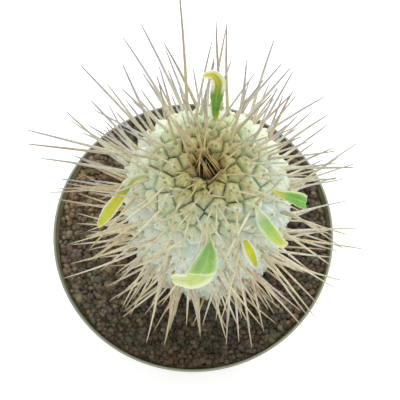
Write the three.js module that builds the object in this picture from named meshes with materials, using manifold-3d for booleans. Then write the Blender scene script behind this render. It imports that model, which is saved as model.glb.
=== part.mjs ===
// Potted halfmens: a stout stem covered in tubercles and spines, with six small leaves round its
// crown, rooted in gravel in a round plastic pot.
// Millimetres, +Z up. The origin is the centre of the face that the pot stands on.
import * as THREE from 'three';
import { ConvexHull } from 'three/addons/math/ConvexHull.js';
import { mergeVertices } from 'three/addons/utils/BufferGeometryUtils.js';
import Module from 'manifold-3d';

const wasm = await Module();
wasm.setup();

// Driving sizes of the pot, which is moulded in one piece.
const POT_LIP_RADIUS = 60;
const POT_HEIGHT = 92;
const POT_FOOT_RADIUS = 42;
const POT_WALL = 1;
const COLLAR_HEIGHT = 11;
const COLLAR_STEP = 2;
const COLLAR_FLARE = 2;
const FLOOR_TOP = 3.6;
const FLOOR_UNDERSIDE = 2;
const FOOT_WIDTH = 4;
const BOSS_RADIUS = 12;
const DRAIN_HOLES = 8;
const DRAIN_HOLE_RADIUS = 3.6;
const DRAIN_CIRCLE_RADIUS = 26;
const FOOT_NOTCHES = 8;
const FOOT_NOTCH_WIDTH = 7;
const POT_SIDES = 60;

// Driving sizes of the stem. Its axis stands a little off the pot's.
const STEM_X = 5.65;
const STEM_Y = 1.3;
const STEM_RADIUS = 30.2;
const STEM_NECK_RADIUS = 28.4;
const STEM_SHOULDER = POT_HEIGHT + 44;
const STEM_TOP = POT_HEIGHT + 77.4;
const DOME_SQUARENESS = 2.75;
const CROWN_RADIUS = 6.4;
const CROWN_DEPTH = 6.5;
const ROOT_DEPTH = 24;

// The gravel lies a little below the lip, and every piece keeps one clearance from what holds it.
const GRAVEL_LEVEL = POT_HEIGHT - 6;
const CLEARANCE = 0.3;
const GRAIN_RELIEF = 1.5;
const GRAVEL_RINGS = 12;
const GRAVEL_SIDES = 60;

// Tubercles lie on a golden-angle spiral, small in the crown and full size on the wall. The spiral is
// turned so that tubercles stand where the leaves grow.
const GOLDEN_ANGLE = Math.PI * (3 - Math.sqrt(5));
const SPIRAL_START = (306 * Math.PI) / 180;
const HEXAGON_SHARE = Math.sqrt(3) / 2;
const CROWN_SPACING = 3.9;
const BODY_SPACING = 7.9;
const BURIED_SPACING = 18;
const SPACING_GROWS_OVER = 22;
const TUBERCLE_HEIGHT = 3;
const CREASE_DEPTH = 0.35;

// Spines, by distance along the skin from the crown's centre: how long they are, how steeply they
// rise in degrees, and the share of them that hasn't worn away.
const SPINE_LENGTHS = [[0, 12], [8, 16], [14, 25], [24, 36], [45, 34], [70, 27], [104, 18]];
const SPINE_RISES = [[0, 86], [8, 72], [20, 52], [36, 34], [55, 22], [104, 6]];
const SPINE_SHARES = [[0, 1], [8, 0.8], [14, 0.5], [104, 0.5]];
const SPINE_RADIUS = 0.72;
const SPINE_SUNK = 1.7;

// Leaves. Each hangs on the tubercle nearest to `azimuth` and `reach` from the stem's axis. The rows
// of `stations` run from just past the leaf base to its tip: where the midrib is, half the blade's
// width, and the way its upper face looks.
const LEAF_THICKNESS = 0.7;
const LEAF_ROWS = 10;
const LEAF_COLUMNS = 4;
const LEAVES = [
  {
    name: 'leaf_back', azimuth: 80, reach: 19.6, wave: 0.5,
    stations: [
      { at: [9, 21.5, 175], half: 1.5, face: [0.1, -0.9, 0.45] },
      { at: [9.4, 24.9, 181], half: 2.4, face: [0.1, -0.9, 0.45] },
      { at: [9.9, 27.9, 185.5], half: 2.8, face: [0.2, -0.8, 0.6] },
      { at: [8, 29.8, 188.2], half: 2, face: [0.2, -0.6, 0.8] },
      { at: [4.6, 29.3, 188.2], half: 0.9, face: [0.1, -0.5, 0.85] },
    ],
  },
  {
    name: 'leaf_left', azimuth: -176, reach: 22.3, wave: 0.4,
    stations: [
      { at: [-21.6, -1, 165], half: 1.1, face: [-0.2, -0.5, 0.85] },
      { at: [-24.4, -4, 164.4], half: 1.5, face: [-0.2, -0.5, 0.85] },
      { at: [-27.4, -7.9, 162.4], half: 2.3, face: [-0.2, -0.3, 0.9] },
      { at: [-31.3, -11.9, 159], half: 2.4, face: [-0.3, -0.2, 0.9] },
      { at: [-35.7, -15.8, 154], half: 0.8, face: [-0.4, -0.3, 0.85] },
    ],
  },
  {
    name: 'leaf_right', azimuth: -18, reach: 25.2, wave: 0.25,
    stations: [
      { at: [33.6, -7, 163.8], half: 1.1, face: [0.1, -0.2, 0.95] },
      { at: [37, -7.6, 162.8], half: 1.8, face: [0.2, -0.2, 0.95] },
      { at: [40.6, -7.8, 160], half: 2.3, face: [0.5, -0.2, 0.8] },
      { at: [42.6, -7.4, 155.8], half: 2.4, face: [1, -0.2, 0.1] },
      { at: [41.6, -7, 152.4], half: 1.2, face: [0.7, -0.1, -0.6] },
    ],
  },
  {
    name: 'leaf_front_right', azimuth: -40, reach: 22.6, wave: 0.4,
    stations: [
      { at: [26.3, -17.4, 164.9], half: 2.2, face: [0.2, -0.3, 0.95] },
      { at: [29.2, -20.8, 162.4], half: 2.7, face: [0.3, -0.4, 0.9] },
      { at: [32.2, -22.9, 158.6], half: 2.3, face: [0.4, -0.5, 0.8] },
      { at: [35.2, -23.4, 155.2], half: 0.9, face: [0.5, -0.5, 0.7] },
    ],
  },
  {
    name: 'leaf_small', azimuth: -63, reach: 29.2, wave: 0.15,
    stations: [
      { at: [19.8, -26, 162], half: 1.4, face: [0.1, -0.3, 0.95] },
      { at: [21.4, -29.2, 159.6], half: 2.1, face: [0.2, -0.5, 0.85] },
      { at: [23.2, -32.2, 155], half: 1, face: [0.3, -0.7, 0.65] },
    ],
  },
  {
    name: 'leaf_front', azimuth: -92, reach: 21.4, wave: 0.45,
    stations: [
      { at: [5.5, -26.9, 168.6], half: 1.8, face: [0, -0.2, 0.95] },
      { at: [5.2, -31.5, 168.8], half: 3.3, face: [0, -0.2, 0.95] },
      { at: [3.3, -36.6, 167.2], half: 4.6, face: [-0.1, -0.4, 0.9] },
      { at: [-1, -39, 163.4], half: 3.5, face: [-0.2, -0.7, 0.65] },
      { at: [-4.8, -38.2, 160.6], half: 3, face: [-0.3, -0.7, 0.6] },
      { at: [-8, -37.2, 158.4], half: 1.5, face: [-0.4, -0.6, 0.6] },
    ],
  },
];

// Small helpers

// A repeatable draw between 0 and 1 for one item and one purpose.
function draw(item, purpose) {
  const stretched = Math.sin(item * 12.9898 + purpose * 78.233) * 43758.5453;
  return stretched - Math.floor(stretched);
}

// Eases from 0 to 1 as t goes from 0 to 1.
function ease(t) {
  const held = Math.min(Math.max(t, 0), 1);
  return held * held * (3 - 2 * held);
}

// Reads a list of [position, value] pairs at `position`, in straight lines between them.
function alongTable(table, position) {
  const next = table.findIndex((row) => row[0] > position);
  if (next === 0) return table[0][1];
  if (next < 0) return table[table.length - 1][1];
  const [fromPosition, fromValue] = table[next - 1];
  const [toPosition, toValue] = table[next];
  return fromValue + ((toValue - fromValue) * (position - fromPosition)) / (toPosition - fromPosition);
}

// A smooth value at t (0 to 1) through evenly spaced stops, by the uniform Catmull-Rom rule.
function smoothThrough(stops, t) {
  const last = stops.length - 1;
  const i = Math.min(Math.floor(t * last), last - 1);
  const f = t * last - i;
  const before = stops[Math.max(i - 1, 0)];
  const from = stops[i];
  const to = stops[i + 1];
  const after = stops[Math.min(i + 2, last)];
  const bend = 2 * before - 5 * from + 4 * to - after + f * (3 * (from - to) + after - before);
  return from + 0.5 * f * (to - before + f * bend);
}

// A geometry from a list of points and a list of triangles that index it.
function geometryOf(points, triangles) {
  const geometry = new THREE.BufferGeometry();
  const numbers = points.flatMap((point) => point.toArray());
  geometry.setAttribute('position', new THREE.Float32BufferAttribute(numbers, 3));
  geometry.setIndex(triangles.flat());
  return geometry;
}

// The same shape with its shared vertices merged, as a solid that can be joined and cut.
function solidOf(geometry) {
  const bare = geometry.clone();
  bare.deleteAttribute('normal');
  bare.deleteAttribute('uv');
  const merged = mergeVertices(bare, 1e-4);
  return new wasm.Manifold(new wasm.Mesh({
    numProp: 3,
    vertProperties: new Float32Array(merged.attributes.position.array),
    triVerts: new Uint32Array(merged.index.array),
  }));
}

// The biggest single body of a solid, back as a geometry.
function geometryOfSolid(solid) {
  const bodies = solid.decompose();
  bodies.sort((a, b) => b.volume() - a.volume());
  const mesh = bodies[0].getMesh();
  const geometry = new THREE.BufferGeometry();
  geometry.setAttribute('position', new THREE.Float32BufferAttribute(mesh.vertProperties, 3));
  geometry.setIndex(Array.from(mesh.triVerts));
  return geometry;
}

// A lathe about +Z from a profile of [radius, height] pairs that starts and ends on the axis.
function turned(profile, sides) {
  const geometry = new THREE.LatheGeometry(profile.map(([r, z]) => new THREE.Vector2(r, z)), sides);
  return geometry.rotateX(Math.PI / 2);
}

function piece(name, geometry, color, roughness) {
  const shape = geometry.index ? geometry.toNonIndexed() : geometry;
  shape.computeVertexNormals();
  const mesh = new THREE.Mesh(shape, new THREE.MeshStandardMaterial({ color, roughness, metalness: 0 }));
  mesh.name = name;
  return mesh;
}

// The pot

const collarFoot = POT_HEIGHT - COLLAR_HEIGHT;
const collarFootRadius = POT_LIP_RADIUS - COLLAR_FLARE;

// Radius of the pot's outer face at a height: the wall widens evenly from the foot, and the collar
// round its top steps out from it and flares to the lip.
function potOuterRadius(z) {
  if (z >= collarFoot) return collarFootRadius + (COLLAR_FLARE * (z - collarFoot)) / COLLAR_HEIGHT;
  const wallTop = collarFootRadius - COLLAR_STEP;
  return POT_FOOT_RADIUS + ((wallTop - POT_FOOT_RADIUS) * z) / collarFoot;
}

function buildPot() {
  const lipRound = 0.45;
  const stepHeight = 1.6;
  const belowCollar = collarFoot - 0.2;
  const lipInner = POT_LIP_RADIUS - POT_WALL;
  const profile = [
    [0, 0],
    [BOSS_RADIUS, 0],
    [BOSS_RADIUS + 0.6, FLOOR_UNDERSIDE],
    [POT_FOOT_RADIUS - FOOT_WIDTH - 0.6, FLOOR_UNDERSIDE],
    [POT_FOOT_RADIUS - FOOT_WIDTH, 0],
    [POT_FOOT_RADIUS - lipRound, 0],
    [POT_FOOT_RADIUS, lipRound],
    [potOuterRadius(belowCollar), belowCollar],
    [potOuterRadius(collarFoot), collarFoot],
    [POT_LIP_RADIUS, POT_HEIGHT - lipRound],
    [POT_LIP_RADIUS - lipRound, POT_HEIGHT],
    [lipInner + lipRound, POT_HEIGHT],
    [lipInner, POT_HEIGHT - lipRound],
    [potOuterRadius(collarFoot) - POT_WALL, collarFoot + stepHeight],
    [potOuterRadius(belowCollar) - POT_WALL, belowCollar],
    [potOuterRadius(FLOOR_TOP) - POT_WALL, FLOOR_TOP],
    [0, FLOOR_TOP],
  ];
  let pot = solidOf(turned(profile, POT_SIDES));
  for (let i = 0; i < DRAIN_HOLES; i++) {
    const angle = (i * 2 * Math.PI) / DRAIN_HOLES;
    const hole = new THREE.CylinderGeometry(DRAIN_HOLE_RADIUS, DRAIN_HOLE_RADIUS, 4 * FLOOR_TOP, 16);
    hole.rotateX(Math.PI / 2);
    hole.translate(DRAIN_CIRCLE_RADIUS * Math.cos(angle), DRAIN_CIRCLE_RADIUS * Math.sin(angle), 0);
    pot = pot.subtract(solidOf(hole));
  }
  for (let i = 0; i < FOOT_NOTCHES; i++) {
    const angle = ((i + 0.5) * 2 * Math.PI) / FOOT_NOTCHES;
    const notch = new THREE.BoxGeometry(FOOT_WIDTH * 3, FOOT_NOTCH_WIDTH, 2 * (FLOOR_UNDERSIDE - 0.4));
    notch.translate(POT_FOOT_RADIUS - FOOT_WIDTH / 2, 0, 0);
    notch.rotateZ(angle);
    pot = pot.subtract(solidOf(notch));
  }
  return piece('pot', geometryOfSolid(pot), 0x5d6650, 0.5);
}

// The stem's skin at crease level

// Points from the crown's centre over the dome, down the wall and along the buried root, each with
// its radius, height, distance, area covered so far, and the turn that a 45 degree spiral has made.
function skinOutline() {
  const domeSteps = 400;
  const wallSteps = 100;
  const rootSteps = 100;
  const outline = [];
  for (let i = 0; i <= domeSteps; i++) {
    const a = ((i / domeSteps) * Math.PI) / 2;
    const r = STEM_RADIUS * Math.sin(a) ** (2 / DOME_SQUARENESS);
    const dome = (STEM_TOP - STEM_SHOULDER) * Math.max(Math.cos(a), 0) ** (2 / DOME_SQUARENESS);
    outline.push({ r, z: STEM_SHOULDER + dome - CROWN_DEPTH * (1 - ease(r / CROWN_RADIUS)) });
  }
  for (let i = 1; i <= wallSteps; i++) {
    const t = i / wallSteps;
    outline.push({
      r: STEM_RADIUS - (STEM_RADIUS - STEM_NECK_RADIUS) * t * t,
      z: STEM_SHOULDER + (GRAVEL_LEVEL - STEM_SHOULDER) * t,
    });
  }
  for (let i = 1; i <= rootSteps; i++) {
    const a = ((i / rootSteps) * Math.PI) / 2;
    outline.push({
      r: STEM_NECK_RADIUS * Math.max(Math.cos(a), 0) ** 0.8,
      z: GRAVEL_LEVEL - ROOT_DEPTH * Math.sin(a),
    });
  }
  outline[0].distance = 0;
  outline[0].area = 0;
  outline[0].turn = 0;
  for (let i = 1; i < outline.length; i++) {
    const from = outline[i - 1];
    const to = outline[i];
    const step = Math.hypot(to.r - from.r, to.z - from.z);
    const middleRadius = Math.max((from.r + to.r) / 2, 1e-3);
    to.distance = from.distance + step;
    to.area = from.area + 2 * Math.PI * middleRadius * step;
    to.turn = from.turn + step / middleRadius;
  }
  return outline;
}

const skin = skinOutline();
const skinEnd = skin[skin.length - 1];

// The skin where `key` (distance, area or turn) reaches `value`, with its outward normal.
function skinAt(key, value) {
  let low = 0;
  let high = skin.length - 1;
  while (high - low > 1) {
    const middle = (low + high) >> 1;
    if (skin[middle][key] <= value) {
      low = middle;
    } else {
      high = middle;
    }
  }
  const from = skin[low];
  const to = skin[high];
  const f = Math.min(Math.max((value - from[key]) / (to[key] - from[key]), 0), 1);
  const step = Math.hypot(to.r - from.r, to.z - from.z);
  return {
    r: from.r + (to.r - from.r) * f,
    z: from.z + (to.z - from.z) * f,
    distance: from.distance + (to.distance - from.distance) * f,
    turn: from.turn + (to.turn - from.turn) * f,
    outward: (from.z - to.z) / step,
    upward: (to.r - from.r) / step,
  };
}

// The point above the skin at `place` and `angle`, `raise` out along the normal.
function aboveSkin(place, angle, raise) {
  const r = place.r + raise * place.outward;
  return new THREE.Vector3(
    STEM_X + r * Math.cos(angle),
    STEM_Y + r * Math.sin(angle),
    place.z + raise * place.upward,
  );
}

// Tubercles are low in the crown and fade out just above the gravel.
function tubercleHeight(place) {
  const inCrown = 0.25;
  const growsFrom = 4;
  const growsOver = 11;
  const fadesFrom = GRAVEL_LEVEL + 1.5;
  const fadesOver = 5;
  const grown = inCrown + (1 - inCrown) * ease((place.distance - growsFrom) / growsOver);
  return TUBERCLE_HEIGHT * grown * ease((place.z - fadesFrom) / fadesOver);
}

function tubercleSpacing(place) {
  if (place.z < GRAVEL_LEVEL - 3) return BURIED_SPACING;
  return CROWN_SPACING + (BODY_SPACING - CROWN_SPACING) * ease(place.distance / SPACING_GROWS_OVER);
}

// Tubercles in order down the skin. Each takes up one cell of area, and stands a little out of line.
function placeTubercles() {
  const unevenness = 0.5;
  const swayShare = 0.16;
  const tubercles = [];
  let area = 0;
  while (area < skinEnd.area) {
    const spacing = tubercleSpacing(skinAt('area', area));
    const cell = HEXAGON_SHARE * spacing * spacing;
    const number = tubercles.length;
    const shifted = area + cell * (0.5 + unevenness * (draw(number, 1) - 0.5));
    const place = skinAt('area', Math.min(shifted, skinEnd.area));
    const sway = (swayShare * spacing * (draw(number, 2) - 0.5)) / Math.max(place.r, spacing);
    const angle = SPIRAL_START + number * GOLDEN_ANGLE + sway;
    tubercles.push({ number, place, spacing, angle });
    area += cell;
  }
  return tubercles;
}

const tubercles = placeTubercles();

// The tip of a tubercle leans a little towards the crown.
const LEAN_SHARE = 0.12;
for (const tubercle of tubercles) {
  const lean = LEAN_SHARE * tubercle.spacing;
  const tipPlace = skinAt('distance', Math.max(tubercle.place.distance - lean, 0));
  tubercle.tipPlace = tipPlace;
  tubercle.tip = aboveSkin(tipPlace, tubercle.angle, tubercleHeight(tipPlace));
}

// The body: one rounded, six-sided mound for each tubercle, with creases where mounds meet

function buildBody() {
  const middleTurn = skinAt('distance', skinEnd.distance / 2).turn;
  const onSphere = (turn, angle) => {
    const fromPole = 2 * Math.atan(Math.exp(turn - middleTurn));
    const r = Math.sin(fromPole);
    return new THREE.Vector3(r * Math.cos(angle), r * Math.sin(angle), Math.cos(fromPole));
  };
  const centres = tubercles.map(({ place, angle }) => onSphere(place.turn, angle));
  const numberOf = new Map(centres.map((centre, number) => [centre, number]));
  const hull = new ConvexHull().setFromPoints(centres);

  // Each face of the hull is a place where three tubercles meet, at the bottom of the creases.
  const corners = new Map();
  for (const face of hull.faces) {
    const meeting = new THREE.Vector3();
    let edge = face.edge;
    for (let i = 0; i < 3; i++) {
      meeting.add(edge.head().point);
      edge = edge.next;
    }
    meeting.normalize();
    const fromPole = Math.acos(meeting.z);
    const angle = Math.atan2(meeting.y, meeting.x);
    const place = skinAt('turn', middleTurn + Math.log(Math.tan(fromPole / 2)));
    const depth = CREASE_DEPTH * ease((place.z - GRAVEL_LEVEL) / 3);
    corners.set(face, { angle, place, point: aboveSkin(place, angle, -depth) });
  }

  // A point part of the way from a tubercle's middle to a corner, on the mound's rounded shoulder.
  const shoulderPoint = (tubercle, corner) => {
    const shoulderReach = 0.56;
    const shoulderHeight = 0.84;
    const level = aboveSkin(tubercle.tipPlace, tubercle.angle, 0);
    const ground = aboveSkin(corner.place, corner.angle, 0);
    const outwards = aboveSkin(tubercle.tipPlace, tubercle.angle, 1).sub(level);
    outwards.add(aboveSkin(corner.place, corner.angle, 1).sub(ground)).normalize();
    const between = THREE.MathUtils.lerp(tubercle.tipPlace.distance, corner.place.distance, shoulderReach);
    const height = shoulderHeight * tubercleHeight(skinAt('distance', between));
    return level.lerp(ground, shoulderReach).addScaledVector(outwards, height);
  };

  const points = [];
  const triangles = [];
  const add = (...corner) => {
    triangles.push(corner.map((point) => points.push(point) - 1));
  };
  for (const face of hull.faces) {
    let edge = face.edge;
    for (let i = 0; i < 3; i++) {
      const tubercle = tubercles[numberOf.get(edge.tail().point)];
      const left = corners.get(face);
      const right = corners.get(edge.twin.face);
      const leftShoulder = shoulderPoint(tubercle, left);
      const rightShoulder = shoulderPoint(tubercle, right);
      add(tubercle.tip, rightShoulder, leftShoulder);
      add(rightShoulder, right.point, left.point);
      add(rightShoulder, left.point, leftShoulder);
      edge = edge.next;
    }
  }
  return geometryOf(points, triangles);
}

// The leaves

// The nearest tubercle to a leaf's azimuth (degrees) and reach from the stem's axis.
function leafTubercle(leaf) {
  const azimuth = THREE.MathUtils.degToRad(leaf.azimuth);
  const x = STEM_X + leaf.reach * Math.cos(azimuth);
  const y = STEM_Y + leaf.reach * Math.sin(azimuth);
  const onDome = tubercles.filter((tubercle) => tubercle.tip.z > STEM_SHOULDER);
  const away = (tubercle) => Math.hypot(tubercle.tip.x - x, tubercle.tip.y - y);
  return onDome.reduce((best, tubercle) => (away(tubercle) < away(best) ? tubercle : best));
}

// The middle surface of a leaf as rows of points. The midrib follows the stations, the blade is
// slightly folded along it, and the margins are waved.
function leafSurface(leaf) {
  const tubercle = leafTubercle(leaf);
  const foot = aboveSkin(tubercle.tipPlace, tubercle.angle, tubercleHeight(tubercle.tipPlace) + 0.45);
  const stations = [{ at: foot.toArray(), half: 0.75, face: leaf.stations[0].face }, ...leaf.stations];
  const fold = 0.22;
  const waves = 2.5;
  const read = (t, pick) => smoothThrough(stations.map(pick), t);
  const midrib = (t) => new THREE.Vector3(
    read(t, (s) => s.at[0]),
    read(t, (s) => s.at[1]),
    read(t, (s) => s.at[2]),
  );
  const rows = [];
  for (let row = 0; row <= LEAF_ROWS; row++) {
    const t = row / LEAF_ROWS;
    const step = 0.02;
    const along = midrib(Math.min(t + step, 1)).sub(midrib(Math.max(t - step, 0))).normalize();
    const face = new THREE.Vector3(
      read(t, (s) => s.face[0]),
      read(t, (s) => s.face[1]),
      read(t, (s) => s.face[2]),
    );
    face.addScaledVector(along, -face.dot(along)).normalize();
    const side = new THREE.Vector3().crossVectors(along, face);
    const half = read(t, (s) => s.half);
    const points = [];
    for (let column = 0; column <= LEAF_COLUMNS; column++) {
      const across = (2 * column) / LEAF_COLUMNS - 1;
      const ripple = Math.sin(2 * Math.PI * waves * t + 2 * across) * across * across * ease(3 * t);
      const lift = fold * half * Math.abs(across) + leaf.wave * ripple;
      points.push(midrib(t).addScaledVector(side, half * across).addScaledVector(face, lift));
    }
    rows.push(points);
  }
  return rows;
}

// A blade of even thickness about its middle surface, split into triangles alike on both faces.
function buildLeaf(leaf) {
  const rows = leafSurface(leaf);
  const lastRow = LEAF_ROWS;
  const lastColumn = LEAF_COLUMNS;
  const points = [];
  const upper = rows.map(() => []);
  const lower = rows.map(() => []);
  for (let row = 0; row <= lastRow; row++) {
    for (let column = 0; column <= lastColumn; column++) {
      const forward = rows[Math.min(row + 1, lastRow)][column].clone();
      forward.sub(rows[Math.max(row - 1, 0)][column]);
      const sideways = rows[row][Math.min(column + 1, lastColumn)].clone();
      sideways.sub(rows[row][Math.max(column - 1, 0)]);
      const normal = sideways.cross(forward).normalize();
      const middle = rows[row][column];
      const halfThickness = normal.multiplyScalar(LEAF_THICKNESS / 2);
      upper[row][column] = points.push(middle.clone().add(halfThickness)) - 1;
      lower[row][column] = points.push(middle.clone().sub(halfThickness)) - 1;
    }
  }
  const triangles = [];
  const quad = (a, b, c, d) => triangles.push([a, b, c], [a, c, d]);
  for (let row = 0; row < lastRow; row++) {
    for (let column = 0; column < lastColumn; column++) {
      quad(upper[row][column], upper[row][column + 1], upper[row + 1][column + 1], upper[row + 1][column]);
      const [a, b] = [lower[row][column], lower[row][column + 1]];
      const [c, d] = [lower[row + 1][column + 1], lower[row + 1][column]];
      triangles.push([a, c, b], [a, d, c]);
    }
    quad(upper[row][0], upper[row + 1][0], lower[row + 1][0], lower[row][0]);
    quad(
      lower[row][lastColumn],
      lower[row + 1][lastColumn],
      upper[row + 1][lastColumn],
      upper[row][lastColumn],
    );
  }
  for (let column = 0; column < lastColumn; column++) {
    quad(lower[0][column], lower[0][column + 1], upper[0][column + 1], upper[0][column]);
    quad(
      upper[lastRow][column],
      upper[lastRow][column + 1],
      lower[lastRow][column + 1],
      lower[lastRow][column],
    );
  }
  return piece(leaf.name, geometryOf(points, triangles), 0x8fae4e, 0.6);
}

// Points over each leaf, with how far a spine's middle keeps from each: further where the blade is
// wide and its points lie further apart. Height counts for less, so that few spines pass over a leaf.
const HEIGHT_SHARE = 0.4;
const leafPoints = LEAVES.flatMap((leaf) => leafSurface(leaf).flatMap((row) => {
  const half = row[0].distanceTo(row[LEAF_COLUMNS]) / 2;
  return row.map((point) => ({ point, clear: 1.2 + 0.36 * half }));
}));

// The spines

function clearsLeaf(point, leaf) {
  const away = point.clone().sub(leaf.point);
  return Math.hypot(away.x, away.y, HEIGHT_SHARE * away.z) >= leaf.clear;
}

// Whether every point along a spine clears the leaves, the gravel and the pot's lip.
function spineIsClear(root, direction, length) {
  const samples = 20;
  const firstSample = 3;
  for (let i = firstSample; i <= samples; i++) {
    const point = root.clone().addScaledVector(direction, (length * i) / samples);
    const fromPotAxis = Math.hypot(point.x, point.y);
    const lowest = fromPotAxis < POT_LIP_RADIUS - 5 ? GRAVEL_LEVEL + 2.6 : POT_HEIGHT + 1.4;
    if (point.z < lowest) return false;
    if (!leafPoints.every((leaf) => clearsLeaf(point, leaf))) return false;
  }
  return true;
}

// Spines stand in a pair at each tubercle's tip, splayed to its two sides. They stand steeply in the
// crown, lean outwards on the dome and are nearly level low on the wall. Angles are in degrees.
function placeSpines() {
  const splayAngle = 17;
  const splayVaries = 14;
  const swings = 12;
  const riseVaries = 18;
  const shortest = 0.76;
  const lengthVaries = 0.42;
  const rootSpread = 0.13;
  const lowestRoot = GRAVEL_LEVEL + 3;
  const spines = [];
  for (const { number, tipPlace, tip, angle, spacing } of tubercles) {
    const { distance, outward, upward } = tipPlace;
    if (tip.z < lowestRoot) continue;
    const closed = 0.5 * (1 - ease((distance - 4) / 8));
    const across = new THREE.Vector3(-Math.sin(angle), Math.cos(angle), 0);
    const normal = new THREE.Vector3(outward * Math.cos(angle), outward * Math.sin(angle), upward);
    for (const side of [-1, 1]) {
      const vary = (which) => draw(number, 30 + 10 * side + which);
      if (vary(4) >= alongTable(SPINE_SHARES, distance)) continue;
      const rise = alongTable(SPINE_RISES, distance) + riseVaries * (vary(0) - 0.5);
      const pairSplay = side * (splayAngle + splayVaries * (vary(1) - 0.5)) * (1 - closed);
      const splay = pairSplay + swings * (vary(2) - 0.5);
      const reach = alongTable(SPINE_LENGTHS, distance) * (shortest + lengthVaries * vary(3));
      const root = tip.clone().addScaledVector(normal, -SPINE_SUNK);
      root.addScaledVector(across, rootSpread * side * spacing);
      const spine = firstClearSpine(root, rise, splay, angle, reach + SPINE_SUNK);
      if (spine) spines.push(spine);
    }
  }
  return spines;
}

// A spine that would touch a leaf, the gravel or the lip is turned aside or up by the first of these
// angles that clears it, or is left out if none does.
function firstClearSpine(root, rise, splay, angle, length) {
  const turns = [0, 12, -12, 24, -24, 38, -38];
  const lifts = [0, 6, 12, 20, 30];
  for (const lift of lifts) {
    for (const turn of turns) {
      const elevation = THREE.MathUtils.degToRad(rise + lift);
      const sideways = THREE.MathUtils.degToRad(splay + turn);
      const outward = Math.cos(elevation) * Math.cos(sideways);
      const direction = new THREE.Vector3(
        outward * Math.cos(angle) - Math.sin(sideways) * Math.sin(angle),
        outward * Math.sin(angle) + Math.sin(sideways) * Math.cos(angle),
        Math.sin(elevation) * Math.cos(sideways),
      ).normalize();
      if (spineIsClear(root, direction, length)) return { root, direction, length };
    }
  }
  return null;
}

// A three-sided needle from its sunken root to its point.
function needle({ root, direction, length }) {
  const steepest = Math.abs(direction.z) > 0.9 ? new THREE.Vector3(1, 0, 0) : new THREE.Vector3(0, 0, 1);
  const first = new THREE.Vector3().crossVectors(direction, steepest).normalize();
  const second = new THREE.Vector3().crossVectors(direction, first);
  const points = [root.clone().addScaledVector(direction, length)];
  for (let i = 0; i < 3; i++) {
    const turn = (i * 2 * Math.PI) / 3;
    const corner = root.clone().addScaledVector(first, SPINE_RADIUS * Math.cos(turn));
    points.push(corner.addScaledVector(second, SPINE_RADIUS * Math.sin(turn)));
  }
  return geometryOf(points, [[1, 2, 0], [2, 3, 0], [3, 1, 0], [3, 2, 1]]);
}

function buildStem() {
  let stem = solidOf(buildBody());
  for (const spine of placeSpines()) {
    stem = stem.add(solidOf(needle(spine)));
  }
  return piece('stem', geometryOfSolid(stem), 0xc9cfae, 0.7);
}

// The gravel: one filling of the pot with a plain hole for the root, its top raised into grains

function buildGravel() {
  const points = [];
  const rings = [];
  const addRing = (radius, z, centreX, centreY, relief) => {
    const stagger = rings.length % 2 ? 0.5 : 0;
    const ring = [];
    for (let i = 0; i < GRAVEL_SIDES; i++) {
      const angle = ((i + stagger) * 2 * Math.PI) / GRAVEL_SIDES;
      const x = centreX + radius * Math.cos(angle);
      const y = centreY + radius * Math.sin(angle);
      ring.push(points.push(new THREE.Vector3(x, y, z + relief(i))) - 1);
    }
    rings.push(ring);
  };
  const flat = () => 0;
  const besidePot = (z) => potOuterRadius(z) - POT_WALL - CLEARANCE;

  // Up the hole from its bottom, round the outside of the root and clear of it.
  const holeSteps = 5;
  const holeStep = (0.92 * Math.PI) / 2 / holeSteps;
  const roundsOutside = 1 / Math.cos(holeStep / 2);
  const holeRadius = (a) => (STEM_NECK_RADIUS * Math.cos(a) ** 0.8 + CLEARANCE + 0.1) * roundsOutside;
  const holeDepth = (ROOT_DEPTH + CLEARANCE) * roundsOutside;
  for (let i = holeSteps; i >= 0; i--) {
    const a = i * holeStep;
    addRing(holeRadius(a), GRAVEL_LEVEL - holeDepth * Math.sin(a), STEM_X, STEM_Y, flat);
  }

  // Out over the top. Every third point of the staggered rings is the peak of a grain.
  for (let row = 1; row < GRAVEL_RINGS; row++) {
    const t = row / GRAVEL_RINGS;
    const inner = holeRadius(0);
    const outer = besidePot(GRAVEL_LEVEL);
    const grain = (i) => {
      const isPeak = (i - Math.floor(rings.length / 2) - rings.length + 3 * GRAVEL_SIDES) % 3 === 0;
      const size = 0.55 + 0.45 * draw(row * GRAVEL_SIDES + i, 3);
      return isPeak ? GRAIN_RELIEF * size : 0.25 * GRAIN_RELIEF * (size - 0.8);
    };
    addRing(inner + (outer - inner) * t, GRAVEL_LEVEL, STEM_X * (1 - t), STEM_Y * (1 - t), grain);
  }

  // Down the inside of the collar and the wall to the floor.
  const collarBottom = collarFoot + 2;
  const wallTop = collarFoot - 0.2;
  const floor = FLOOR_TOP + CLEARANCE;
  addRing(besidePot(GRAVEL_LEVEL), GRAVEL_LEVEL, 0, 0, flat);
  addRing(besidePot(collarBottom), collarBottom, 0, 0, flat);
  addRing(besidePot(wallTop), wallTop, 0, 0, flat);
  addRing(besidePot(floor), floor, 0, 0, flat);

  const triangles = [];
  for (let row = 0; row + 1 < rings.length; row++) {
    for (let i = 0; i < GRAVEL_SIDES; i++) {
      const next = (i + 1) % GRAVEL_SIDES;
      const [a, b] = [rings[row][i], rings[row][next]];
      const [c, d] = [rings[row + 1][next], rings[row + 1][i]];
      if (row % 2) {
        triangles.push([a, d, c], [a, c, b]);
      } else {
        triangles.push([a, d, b], [b, d, c]);
      }
    }
  }
  const bottomOfHole = points.push(new THREE.Vector3(STEM_X, STEM_Y, GRAVEL_LEVEL - holeDepth)) - 1;
  const bottomOfPot = points.push(new THREE.Vector3(0, 0, floor)) - 1;
  const firstRing = rings[0];
  const lastRing = rings[rings.length - 1];
  for (let i = 0; i < GRAVEL_SIDES; i++) {
    const next = (i + 1) % GRAVEL_SIDES;
    triangles.push([bottomOfHole, firstRing[i], firstRing[next]]);
    triangles.push([bottomOfPot, lastRing[next], lastRing[i]]);
  }
  return piece('gravel', geometryOf(points, triangles), 0x574c40, 0.95);
}

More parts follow.
